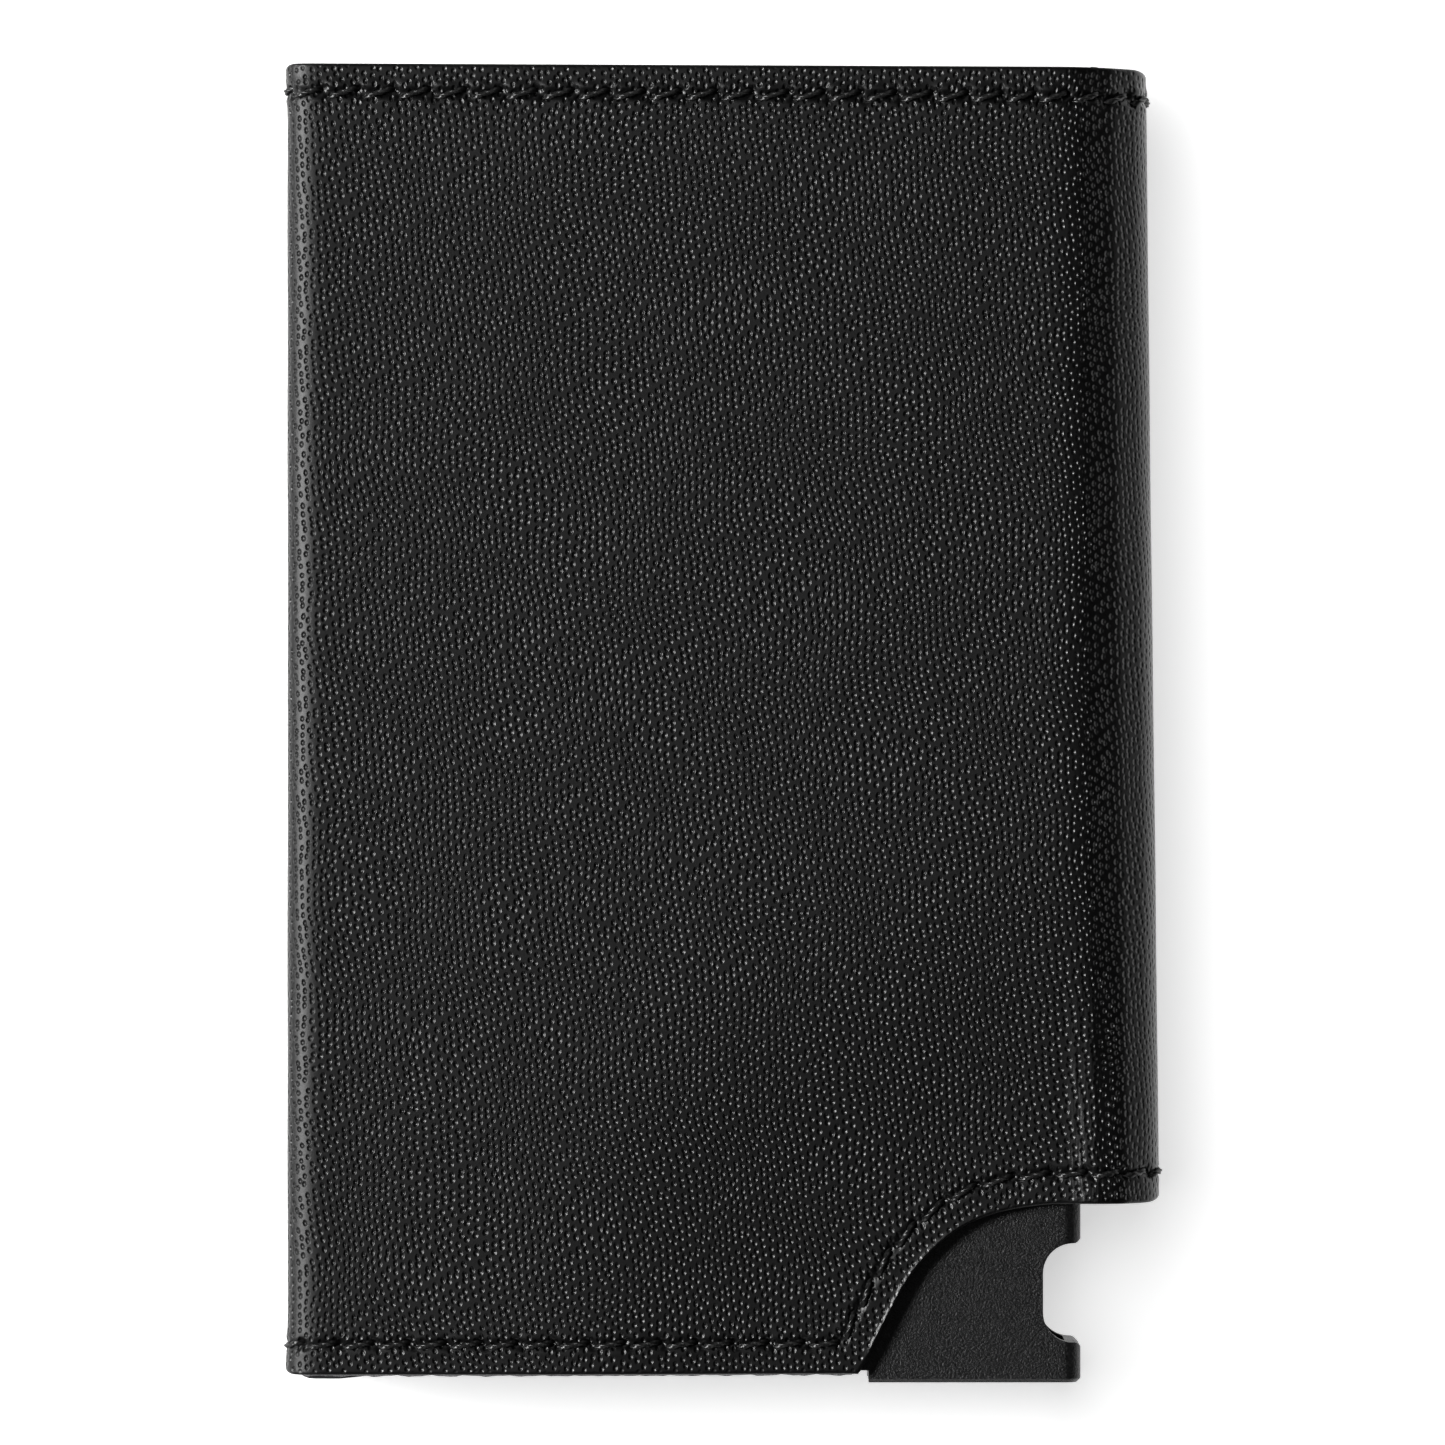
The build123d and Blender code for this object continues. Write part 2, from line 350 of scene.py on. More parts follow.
@dataclass(frozen=True)
class PebbledLeather:
    """Black leather embossed with small oval dimples, in rows that wander."""

    name: str = "pebbled_leather"
    dark: Triple = (0.0003, 0.0003, 0.00033)
    light: Triple = (0.0014, 0.0014, 0.0015)
    spacing: float = 0.645
    row_angle: float = 0.42
    scatter: float = 0.27
    wander: float = 2.4
    wander_scale: Triple = (0.085, 0.085, 1.0)
    dimple: Tuple[float, float] = (0.20, 0.27)
    dimple_wall: Tuple[float, float] = (0.15, 1.05)
    dimple_chance: float = 0.28
    dimple_depth: float = 0.000110
    grain_depth: float = 0.000009
    crease_place: float = 9.6
    streak_depth: float = 0.00013
    streak_scale: Triple = (1.5, 0.16, 1.0)
    crease_fade: Tuple[float, float] = (0.6, 1.9)
    crease_heights: Tuple[float, float] = (-30.0, -12.0)
    upper_crease: float = 0.25
    crease_stretch: float = 0.35
    margin_grain: float = 0.35
    # how much darker the colour is painted inside the dimples: painted shade
    painted_pit_shade: float = 0.7
    unevenness: float = 0.12
    margin_polish: float = 0.04
    fold_place: float = 69.5
    fold_fade: Tuple[float, float] = (0.6, 1.6)
    fold_dulling: float = 0.13
    rim_place: float = 71.3
    rim_fade: Tuple[float, float] = (0.4, 1.3)
    spine_fade: Tuple[float, float] = (1.0, 4.5)
    polish: float = 0.09
    roughness: float = 0.355

    def lattice(self, d: Dresser, place: Signal, start: float) -> Signal:
        """Dimples on one of the two interleaved lattices, 1 at the bottom of each.

        Args:
            d: the dresser.
            place: the lattice's coordinates, in millimetres.
            start: how far along both axes the lattice starts, in cells.

        Returns:
            The dimples' depth.
        """
        cell = (self.spacing, self.spacing * math.sqrt(3.0), 1.0)
        scaled = d.scaled(place, tuple(1 / side for side in cell))
        moved = d.vector("ADD", scaled, (start, start, 0.0))
        corner = d.vector("FLOOR", moved)
        chance = d.add("ShaderNodeTexWhiteNoise", {"noise_dimensions": "2D"}, {"Vector": corner})
        stray = d.scaled(d.centred(chance["Color"]), (self.scatter,) * 3)
        centred = d.centred(d.vector("SUBTRACT", moved, corner))
        reach = d.vector("SUBTRACT", d.scaled(centred, cell), stray)
        away = d.scaled(d.turned(reach, -self.row_angle), (1 / self.dimple[0], 1 / self.dimple[1], 0.0))
        bowl = d.length(away).ramp(*self.dimple_wall, 1.0, 0.0)
        return bowl * (1 - self.dimple_chance + chance["Value"] * self.dimple_chance)

    def material(self) -> bpy.types.Material:
        """Builds the finish: dimples with painted shade inside them, fine grain and a smooth margin where
        the edge mask is 1.

        Returns:
            The material.
        """
        d = Dresser(self.name)
        place = d.surface_coordinates()
        drift = d.noise(d.scaled(place, self.wander_scale), scale=1.0, detail=1.0)["Color"]
        laid = d.turned(d.shifted(place, drift, self.wander), self.row_angle)
        even, odd = self.lattice(d, laid, 0.0), self.lattice(d, laid, 0.5)
        pits = even.math("MAXIMUM", even, odd)
        smooth = d.attribute("edge_mask")
        grained = 1 - smooth
        pits = pits * grained
        fine = d.noise(place, scale=6.0, detail=3.0, rough=0.65)["Fac"]
        axes = d.add("ShaderNodeSeparateXYZ", {}, {0: place})
        gap = axes["X"].math("ABSOLUTE", axes["X"] + self.crease_place)
        creased = gap.ramp(*self.crease_fade, 1.0, 0.0)
        creased = creased * axes["Y"].ramp(*self.crease_heights, 1.0, self.upper_crease)
        streaks = d.noise(d.scaled(place, self.streak_scale), scale=1.0, detail=2.0, rough=0.6)["Fac"]
        worn = d.bump(streaks * creased, self.streak_depth)
        pits = pits * (1 - creased * self.crease_stretch)
        kept = self.margin_grain + grained * (1 - self.margin_grain)
        fine_normal = d.bump(fine * kept, self.grain_depth, worn)
        normal = d.bump(1 - pits, self.dimple_depth, fine_normal)
        tone = d.noise(place, scale=0.35, detail=4.0, rough=0.6)["Fac"].ramp(0.3, 0.7)
        # painted shade: the colour is darkened inside the dimples, on top of their relief
        colour = d.blend(tone * (1 - pits * self.painted_pit_shade), self.dark, self.light)
        from_spine = axes["X"].math("ABSOLUTE", axes["X"])
        from_fold = from_spine.math("ABSOLUTE", from_spine - self.fold_place)
        from_rim = from_spine.math("ABSOLUTE", from_spine - self.rim_place)
        rubbed = from_fold.ramp(*self.fold_fade, 1.0, 0.0)
        polished = from_rim.ramp(*self.rim_fade, 1.0, 0.0) + from_spine.ramp(*self.spine_fade, 1.0, 0.0)
        rough = self.roughness + (fine - 0.5) * self.unevenness - smooth * self.margin_polish
        rough = rough + rubbed * self.fold_dulling - polished * self.polish
        return d.close(Base_Color=colour, Roughness=rough, Normal=normal)


@dataclass(frozen=True)
class SmoothLeather:
    """Plain black leather with a fine grain."""

    name: str
    dark: Triple = (0.008, 0.008, 0.008)
    light: Triple = (0.014, 0.014, 0.014)
    roughness: float = 0.42
    grain_depth: float = 0.00002
    unevenness: float = 0.2

    def material(self) -> bpy.types.Material:
        """Builds the finish from fine wrinkles and pores.

        Returns:
            The material.
        """
        d = Dresser(self.name)
        place = d.scaled(d.object_coordinates(), PER_METRE)
        fine = d.noise(place, scale=4.5, detail=4.0, rough=0.6)["Fac"]
        broad = d.noise(place, scale=0.4, detail=3.0, rough=0.55)["Fac"]
        normal = d.bump(fine, self.grain_depth)
        colour = d.blend(broad.ramp(0.3, 0.7), self.dark, self.light)
        rough = self.roughness + (fine - 0.5) * self.unevenness
        return d.close(Base_Color=colour, Roughness=rough, Normal=normal)


@dataclass(frozen=True)
class AnodisedMetal:
    """Satin black anodised aluminium with a blasted grain."""

    name: str = "anodised_metal"
    dark: Triple = (0.0003, 0.0003, 0.00033)
    light: Triple = (0.0115, 0.0115, 0.012)
    roughness: float = 0.365
    grain_per_mm: float = 6.2
    grain_depth: float = 0.000080
    unevenness: float = 0.08
    metallic: float = 0.3
    shine: float = 0.32

    def material(self) -> bpy.types.Material:
        """Builds the finish from a fine even speckle.

        Returns:
            The material.
        """
        d = Dresser(self.name)
        place = d.scaled(d.object_coordinates(), PER_METRE)
        speckle = d.noise(place, self.grain_per_mm, detail=2.0, rough=0.7)["Fac"]
        cloud = d.noise(place, scale=0.25, detail=2.0)["Fac"]
        normal = d.bump(speckle, self.grain_depth)
        colour = d.blend(speckle.ramp(0.25, 0.75), self.dark, self.light)
        looks = {"Metallic": self.metallic, "Specular IOR Level": self.shine}
        rough = self.roughness + (cloud - 0.5) * self.unevenness
        return d.close(Base_Color=colour, Roughness=rough, Normal=normal, **looks)


@dataclass(frozen=True)
class Fibre:
    """A fibrous finish: lining, raw edge, felt, board or thread."""

    name: str
    dark: Triple
    light: Triple
    grain_per_mm: float = 6.0
    stretch: Tuple[float, float, float] = (1.0, 1.0, 1.0)
    depth: float = 0.00004
    roughness: float = 0.85
    sheen: float = 0.25

    def material(self) -> bpy.types.Material:
        """Builds the finish from stretched noise.

        Returns:
            The material.
        """
        d = Dresser(self.name)
        scale = tuple(share / MM for share in self.stretch)
        place = d.scaled(d.object_coordinates(), scale)
        fibres = d.noise(place, self.grain_per_mm, detail=4.0, rough=0.7)["Fac"]
        normal = d.bump(fibres, self.depth)
        colour = d.blend(fibres.ramp(0.35, 0.65), self.dark, self.light)
        return d.close(Base_Color=colour, Roughness=self.roughness, Sheen_Weight=self.sheen, Normal=normal)


@dataclass(frozen=True)
class SpringSteel:
    """Bright rolled spring strip."""

    name: str = "spring_steel"
    dark: Triple = (0.32, 0.32, 0.33)
    light: Triple = (0.5, 0.5, 0.51)
    mark_scale: Triple = (1000.0, 60.0, 1000.0)
    mark_depth: float = 0.000004
    roughness: float = 0.25
    unevenness: float = 0.15

    def material(self) -> bpy.types.Material:
        """Builds the finish from lengthwise rolling marks.

        Returns:
            The material.
        """
        d = Dresser(self.name)
        place = d.scaled(d.object_coordinates(), self.mark_scale)
        marks = d.noise(place, scale=5.0, detail=3.0, rough=0.6)["Fac"]
        colour = d.blend(marks, self.dark, self.light)
        normal = d.bump(marks, self.mark_depth)
        rough = self.roughness + marks * self.unevenness
        return d.close(Base_Color=colour, Roughness=rough, Metallic=1.0, Normal=normal)


class Finish(Enum):
    """The wallet's finishes, each named for what it covers."""

    COVER = PebbledLeather()
    # edge paint, painted lighter than the leather: partly the paint's own grey, partly a painted sheen of
    # the light the smooth rounded edges reflect
    EDGE = SmoothLeather("edge_paint_with_painted_sheen", (0.016, 0.016, 0.016), (0.030, 0.030, 0.030), 0.34, 0.000012)
    POCKET = SmoothLeather("pocket_leather")
    CASE = AnodisedMetal()
    PLUG = AnodisedMetal("plug_metal", roughness=0.34)
    SPRING = SpringSteel()
    LINING = Fibre("lining_microfibre", (0.010, 0.010, 0.011), (0.024, 0.024, 0.025))
    RAW_EDGE = Fibre("raw_edge", (0.05, 0.05, 0.052), (0.34, 0.34, 0.35), 9.0, (1.0, 0.6, 1.0))
    FELT = Fibre("grip_felt", (0.012, 0.012, 0.013), (0.04, 0.04, 0.042), 4.0)
    BOARD = Fibre("fibre_board", (0.13, 0.12, 0.11), (0.24, 0.22, 0.20), 3.0)
    PAD = Fibre("bond_pad", (0.03, 0.03, 0.03), (0.05, 0.05, 0.05), 2.0)
    THREAD = Fibre(
        "waxed_thread", (0.002,) * 3, (0.009,) * 3, 10.0, depth=0.000008, roughness=0.33, sheen=0.0
    )

    def material(self) -> bpy.types.Material:
        """The finish's material, built the first time it is asked for."""
        return bpy.data.materials.get(self.value.name) or self.value.material()


# Mesh tools --------------------------------------------------------------------------------------


def mesh_from_grid(
    name: str,
    outer: Array,
    inner: Array,
    surface: Array,
    edge_mask: Array,
    flipped: bool,
    finishes: Tuple[Finish, Finish, Finish],
    raw_rows: int = 0,
) -> bpy.types.Object:
    """Makes a closed sheet with thickness from two grids of points.

    Args:
        name: the piece's name.
        outer: the outer face's points, rows by columns by 3, in millimetres.
        inner: the inner face's points.
        surface: rows by columns by 2, coordinates over the surface in millimetres.
        edge_mask: rows by columns, 1 where the grain fades out.
        flipped: whether the outer face looks the other way round the grid.
        finishes: those of the outer face, the inner face and the edges.
        raw_rows: how many of the outer face's lowest rows of faces have the edges' finish.

    Returns:
        The new object.
    """
    rows, columns = outer.shape[:2]
    count = rows * columns
    points = np.concatenate([outer.reshape(-1, 3), inner.reshape(-1, 3)]) * MM
    index = np.arange(count).reshape(rows, columns)
    corners = [index[:-1, :-1], index[:-1, 1:], index[1:, 1:], index[1:, :-1]]
    face = np.stack([corner.ravel() for corner in corners], 1)
    border = np.concatenate([index[0, :], index[1:, -1], index[-1, -2::-1], index[-2:0:-1, 0]])
    after = np.roll(border, -1)
    rim = np.stack([border, border + count, after + count, after], 1)
    faces = np.concatenate([face, face[:, ::-1] + count, rim])
    if flipped:
        faces = faces[:, ::-1]
    mesh = bpy.data.meshes.new(name)
    mesh.from_pydata(points.tolist(), [], faces.tolist())
    places = np.concatenate([surface.reshape(-1, 2)] * 2)
    layer = mesh.uv_layers.new(name="surface_mm")
    loops = np.zeros(len(mesh.loops), np.int32)
    mesh.loops.foreach_get("vertex_index", loops)
    layer.data.foreach_set("uv", places[loops].astype(np.float32).ravel())
    mask = mesh.attributes.new("edge_mask", "FLOAT", "POINT")
    mask.data.foreach_set("value", np.concatenate([edge_mask.ravel()] * 2).astype(np.float32))
    for finish in finishes:
        mesh.materials.append(finish.material())
    groups = np.concatenate([np.zeros(len(face)), np.ones(len(face)), np.full(len(rim), 2)])
    groups[: raw_rows * (columns - 1)] = 2
    mesh.polygons.foreach_set("material_index", groups.astype(np.int32))
    smooth_faces(mesh)
    sharp = mesh.attributes.new("sharp_edge", "BOOLEAN", "EDGE")
    ends = np.zeros(len(mesh.edges) * 2, np.int32)
    mesh.edges.foreach_get("vertices", ends)
    ends = ends.reshape(-1, 2)
    on_border = np.zeros(2 * count, bool)
    on_border[border] = True
    on_border[border + count] = True
    same_side = (ends[:, 0] < count) == (ends[:, 1] < count)
    sharp.data.foreach_set("value", on_border[ends].all(1) & same_side)
    mesh.validate()
    return place_data(name, mesh)


def smooth_copy(node: str, name: str, finish: Finish, bevel: float) -> bpy.types.Object:
    """Copies a metal node, rounds its sharp edges a little and shades it smooth.

    Args:
        node: the node to copy.
        name: the new piece's name.
        finish: its finish.
        bevel: the width of the edge rounding, in millimetres.

    Returns:
        The new object.
    """
    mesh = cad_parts[node].data.copy()
    mesh.name = name
    work = bmesh.new()
    work.from_mesh(mesh)
    bmesh.ops.remove_doubles(work, verts=work.verts, dist=MERGE_DISTANCE * MM)
    bmesh.ops.dissolve_limit(work, angle_limit=FLAT_ANGLE, verts=work.verts, edges=work.edges)
    work.to_mesh(mesh)
    work.free()
    mesh.materials.clear()
    mesh.materials.append(finish.material())
    mesh.polygons.foreach_set("material_index", np.zeros(len(mesh.polygons), np.int32))
    obj = place_data(name, mesh)
    rounding = obj.modifiers.new("edge_rounding", "BEVEL")
    rounding.width = bevel * MM
    rounding.segments = ROUNDING_SEGMENTS
    rounding.limit_method = "ANGLE"
    rounding.angle_limit = SHARP_ANGLE
    weighing = obj.modifiers.new("flat_faces", "WEIGHTED_NORMAL")
    weighing.mode = "FACE_AREA"
    weighing.weight = FACE_WEIGHT
    smooth_faces(mesh)
    finished = plain_mesh(obj)
    obj.modifiers.clear()
    obj.data = finished
    return obj


# The cover's shape -------------------------------------------------------------------------------


@dataclass(frozen=True)
class Outline:
    """The plan of a cover panel, with the thumb cut-out at its lower right corner."""

    bottom: float
    top: float
    cut_top: float
    arc_centre_x: float
    arc_radius: float = 13.5
    slope_degrees: float = 63.0
    trim: float = 0.42
    trim_start: float = 24.5
    trim_reach: float = 7.0

    def low_edge(self, x: Array, inset: Array, cut_inset: float = 0.0) -> Array:
        """The lower edge's height at each x, moved into the leather by inset.

        Args:
            x: places across the panel.
            inset: how far the edge is moved in.
            cut_inset: how much further it is moved in round the cut-out.

        Returns:
            The edge's y.
        """
        slope = math.radians(self.slope_degrees)
        trim = self.trim * soft((self.trim_start - x) / self.trim_reach)
        radius = self.arc_radius + inset + cut_inset + trim
        centre_y = self.cut_top - self.arc_radius
        start_x = self.arc_centre_x - radius * math.sin(slope)
        start_y = centre_y + radius * math.cos(slope)
        line = start_y + (x - start_x) * math.tan(slope)
        across = np.clip((x - self.arc_centre_x) / radius, -1, 0)
        arc = centre_y + radius * np.sqrt(1 - across**2)
        edge = np.where(x < start_x, line, arc)
        return np.maximum(edge, self.bottom + inset)

    def nearness(self, x: Array, y: Array, reach: float) -> Array:
        """How near places are to the cut-out's arc.

        Args:
            x: their places across the panel.
            y: their heights.
            reach: how far from the arc the nearness ends.

        Returns:
            1 on the arc, falling smoothly to 0 at reach from it.
        """
        away = np.hypot(x - self.arc_centre_x, y - self.cut_top + self.arc_radius) - self.arc_radius
        return soft(1 - away / reach)


@dataclass
class Section:
    """The cover's cross-section, from the hem round the fold, over the panel and down the spine.

    Places are x and depth, where depth is counted inwards from the panel's outer face.
    """

    left: float
    right: float
    stack: float
    middle_depth: float
    hem_width: float = 8.0
    hem_step: float = 0.2
    hem_turn: float = 1.2
    nose: float = 2.2
    nose_depth: float = 1.6
    nose_gap: float = 0.2
    tilts: Tuple[Tuple[float, float], ...] = (
        (25.2, 0.0),
        (27.6, 9.0),
        (28.6, 24.0),
        (30.3, 30.0),
        (30.9, 40.0),
        (32.25, 43.0),
    )
    step: float = 0.04
    blur: int = 13
    kept_ends: int = 8
    turn_points: int = 24
    flat_points: int = 60
    slant_points: int = 180
    arc_points: int = 30
    rest_points: int = 6
    table: Array = field(init=False)

    def __post_init__(self) -> None:
        """Lays out the section's points and its outward directions."""
        tuck = self.stack - self.nose_depth
        start = self.left + self.hem_turn
        steps = range(int(self.hem_width / self.hem_step))
        points = [(start + self.hem_width - i * self.hem_step, self.stack) for i in steps]
        turn = np.linspace(0, math.pi / 2, self.turn_points)
        for t in turn:
            points.append((start - self.hem_turn * math.sin(t), self.nose_depth + tuck * math.cos(t)))
        for t in turn[1:]:
            points.append((self.left + self.nose * (1 - math.cos(t)), self.nose_depth * (1 - math.sin(t))))
        points += self.panel_points()
        points += self.spine_points(*points[-1])
        raw = np.array(points)
        length = np.concatenate([[0], np.cumsum(np.hypot(*np.diff(raw, axis=0).T))])
        s = np.arange(0, length[-1], self.step)
        x = np.interp(s, length, raw[:, 0])
        depth = np.interp(s, length, raw[:, 1])
        window = np.hanning(self.blur)
        inside = slice(self.kept_ends, -self.kept_ends)
        for line in (x, depth):
            line[inside] = np.convolve(line, window / window.sum(), "same")[inside]
        tangent = np.stack([np.gradient(x), np.gradient(depth)], 1)
        tangent /= np.linalg.norm(tangent, axis=1)[:, None]
        self.table = np.stack([s, x, depth, tangent[:, 1], -tangent[:, 0]], 1)

    def panel_points(self) -> List[Tuple[float, float]]:
        """Lays out the flat face, the dip beyond the case's edge and the slanting start of the spine.

        Returns:
            Their points.
        """
        places, tilts = zip(*self.tilts)
        start = self.left + self.nose + self.nose_gap
        flat = [(x, 0.0) for x in np.linspace(start, places[0], self.flat_points)]
        x = np.linspace(places[0], places[-1], self.slant_points)[1:]
        fall = np.tan(np.radians(np.interp(x, places, tilts))) * (x[1] - x[0])
        return flat + list(zip(x, np.cumsum(fall)))

    def spine_points(self, x0: float, depth0: float) -> List[Tuple[float, float]]:
        """Lays out the rounded rest of the spine, down to its middle.

        Args:
            x0: where the slanting part ends.
            depth0: its depth there.

        Returns:
            The rest's points.
        """
        tilt = math.radians(self.tilts[-1][1])
        radius = (self.right - x0) / (1 - math.sin(tilt))
        turns = np.linspace(tilt, math.pi / 2, self.arc_points)[1:]
        out = [x0 + radius * (math.sin(t) - math.sin(tilt)) for t in turns]
        down = [depth0 + radius * (math.cos(tilt) - math.cos(t)) for t in turns]
        rest = np.linspace(down[-1], self.middle_depth, self.rest_points)[1:]
        return list(zip(out, down)) + [(self.right, depth) for depth in rest]

    @property
    def length(self) -> float:
        """The section's length along the leather."""
        return float(self.table[-1, 0])

    def nose_place(self) -> float:
        """How far along the section its leftmost point is."""
        return float(self.table[int(np.argmin(self.table[:, 1])), 0])

    def at(self, s: Array) -> Tuple[Array, Array, Array, Array]:
        """The x, depth and outward direction at places along the section."""
        return tuple(np.interp(s, self.table[:, 0], self.table[:, k]) for k in range(1, 5))

    def place_of(self, x: float) -> float:
        """Where along the section the outer face passes x."""
        outer = self.table[:, 0] > self.nose_place()
        return float(np.interp(x, self.table[outer, 1], self.table[outer, 0]))


class Side(Enum):
    """The two halves of the cover, each with the way its outer face looks."""

    FRONT = 1
    BACK = -1


@dataclass
class Seam:
    """A row of stitches across one half of the cover, in section places and heights."""

    path: Array
    anchor: float
    pitch: float = 2.76
    length: float = 2.2
    slant: float = 0.16
    pull: float = 1.0
    probe: float = 0.3
    station: float = 0.15
    block: int = 4000

    def cumulative(self) -> Array:
        """Distance along the path at each of its points."""
        return np.concatenate([[0], np.cumsum(np.hypot(*np.diff(self.path, axis=0).T))])

    def point(self, distance: Array) -> Array:
        """Places on the path, at distances along it."""
        run = self.cumulative()
        return np.stack([np.interp(distance, run, self.path[:, k]) for k in (0, 1)], -1)

    def across(self, distance: Array) -> Array:
        """Directions across the path, towards the middle of the panel.

        Args:
            distance: distances along the path.

        Returns:
            A unit vector for each.
        """
        ahead = self.point(distance + self.probe) - self.point(distance - self.probe)
        ahead /= np.linalg.norm(ahead, axis=-1)[..., None]
        return np.stack([-ahead[..., 1], ahead[..., 0]], -1)

    def centres(self) -> Array:
        """Distances along the path of the stitches' middles."""
        start = self.anchor % self.pitch
        return np.arange(start, self.cumulative()[-1], self.pitch)

    def reach(self, along: Array, spot: float) -> Array:
        """Signed distance from the nearest place that lies spot past a stitch's middle."""
        gap = along - self.anchor - spot
        return (gap + self.pitch / 2) % self.pitch - self.pitch / 2

    def local(self, s: Array, y: Array) -> Tuple[Array, Array]:
        """The distance along the path and the offset across it, for points near it.

        Args:
            s: section places.
            y: heights.

        Returns:
            Distance along and signed offset, one for each point.
        """
        run = self.cumulative()
        stations = np.arange(0, run[-1], self.station)
        path = self.point(stations)
        flat = np.stack([s.ravel(), y.ravel()], 1)
        nearest = np.zeros(len(flat), int)
        for low in range(0, len(flat), self.block):
            part = slice(low, low + self.block)
            gaps = ((flat[part, None, :] - path[None]) ** 2).sum(2)
            nearest[part] = gaps.argmin(1)
        along = stations[nearest]
        away = flat - path[nearest]
        direction = self.across(along)
        offset = (away * direction).sum(1)
        forward = np.stack([direction[:, 1], -direction[:, 0]], 1)
        along = along + (away * forward).sum(1)
        return along.reshape(s.shape), offset.reshape(s.shape)


@dataclass
class CoverHalf:
    """One half of the leather cover: a panel with its hem and fold, and half of the spine."""

    side: Side
    section: Section
    outline: Outline
    face_z: float
    top_seam_y: float
    seam_inset: float
    leather: float = 0.8
    hem: float = 0.5
    lean: float = 0.012
    lean_start: float = 18.0
    lean_reach: float = 12.0
    lean_level: float = -2.0
    top_fall: float = 0.30
    seam_start: float = 0.9
    seam_step: float = 0.25
    seam_rise: float = 0.06
    seam_fall: float = 1.35
    sag_depth: float = 1.30
    sag_reach: float = 28.0
    sag_end: float = 31.0
    sag_fade: float = 5.0
    ripple: float = 0.020
    ripple_waves: Tuple[float, ...] = (0.31, 0.11, 0.23, 0.07)
    groove_depth: float = 0.17
    groove_reach: float = 0.30
    pucker: float = 0.105
    pucker_reach: float = 0.38
    puckers: Tuple[Tuple[float, ...], ...] = ((0.62, -0.55, 1.0), (-0.62, 0.50, 0.65))
    hole_depth: float = 0.40
    holes: Tuple[Tuple[float, ...], ...] = ((1.0, 0.02, 0.25, 1.0), (-1.0, 0.04, 0.20, 0.6))
    flare: float = 0.16
    flare_reach: float = 2.6
    corner: float = 0.34
    corner_reach: float = 1.5
    spine_corner: float = 0.42
    spine_reach: float = 4.2
    pull_fade: float = 1.2
    edge_rows: Tuple[float, ...] = (0, 0.05, 0.11, 0.18, 0.28, 0.42, 0.6, 0.8, 1.0, 1.2, 1.4)
    close_rows: Triple = (1.56, 3.1, 0.13)
    wide_rows: Tuple[float, ...] = (3.3, 3.6, 4.0, 4.5)
    middle_rows: int = 34
    column_step: float = 0.205
    edge_round: float = 0.09
    bevel_reach: float = 0.24
    inner_round: float = 0.10
    hem_round_reach: float = 0.3
    curl: float = 0.11
    curl_place: float = 0.13
    curl_reach: float = 0.15
    curl_ends: Tuple[float, float] = (10.8, 22.0)
    curl_fades: Tuple[float, float] = (0.8, 5.0)
    curl_sharpness: float = 0.8
    skive_start: float = 1.0
    skive_reach: float = 1.6
    lip: float = 0.07
    lip_reach: float = 0.3
    plain_margin: float = 0.42
    plain_start: float = 1.25
    seams: Dict[str, Seam] = field(default_factory=dict)

    def __post_init__(self) -> None:
        """Lays the two seams over the half."""
        section = self.section
        start = section.nose_place() - self.seam_start
        s = np.append(np.arange(start, section.length, self.seam_step), section.length)
        x = section.at(s)[0]
        fall = self.top_fall * self.seam_fall * (x - section.left) / PANEL_WIDTH
        level = self.top_seam_y + self.seam_rise - fall
        low = self.outline.low_edge(x, np.full_like(x, self.seam_inset))
        for name, height, first, slant, pull in (
            ("top", level, -31.96, 0.16, 1.0),
            ("bottom", low, -30.75, 0.09, 0.6),
        ):
            path = np.stack([s, height], 1)
            self.seams[name] = Seam(path, section.place_of(first) - start, slant=slant, pull=pull)

    @property
    def inward(self) -> float:
        """The sign of z that depth counts in."""
        return -float(self.side.value)

    def surface_u(self, s: Array) -> Array:
        """Distance from the middle of the spine, so that the grain runs on over it."""
        return (s - self.section.length) * self.side.value

    def place(self, s: Array, y: Array, lift: Array) -> Array:
        """Points over the leather.

        Args:
            s: places along the section.
            y: heights up the wallet.
            lift: how far outside the undisturbed leather.

        Returns:
            The points in millimetres.
        """
        x, depth, normal_x, normal_depth = self.section.at(s)
        depth = depth + self.sag(x, y)
        leaning = soft((s - self.section.place_of(self.lean_start)) / self.lean_reach)
        x = x - self.lean * (y - self.lean_level) * leaning + normal_x * lift
        depth = depth + normal_depth * lift
        return np.stack([x, y, self.face_z + self.inward * depth], -1)

    def sag(self, x: Array, y: Array) -> Array:
        """How far the front panel is pressed down towards the case round the cut-out.

        Args:
            x: places across the panel.
            y: their heights.

        Returns:
            The depths.
        """
        if self.side is Side.BACK:
            return np.zeros_like(x)
        near = self.outline.nearness(x, y, self.sag_reach)
        return self.sag_depth * near * soft((self.sag_end - x) / self.sag_fade)

    def top_edge(self, x: Array) -> Array:
        """The upper edge's height at each x, which falls a little towards the spine."""
        return self.outline.top - self.top_fall * np.clip((x - self.section.left) / PANEL_WIDTH, 0, 1)

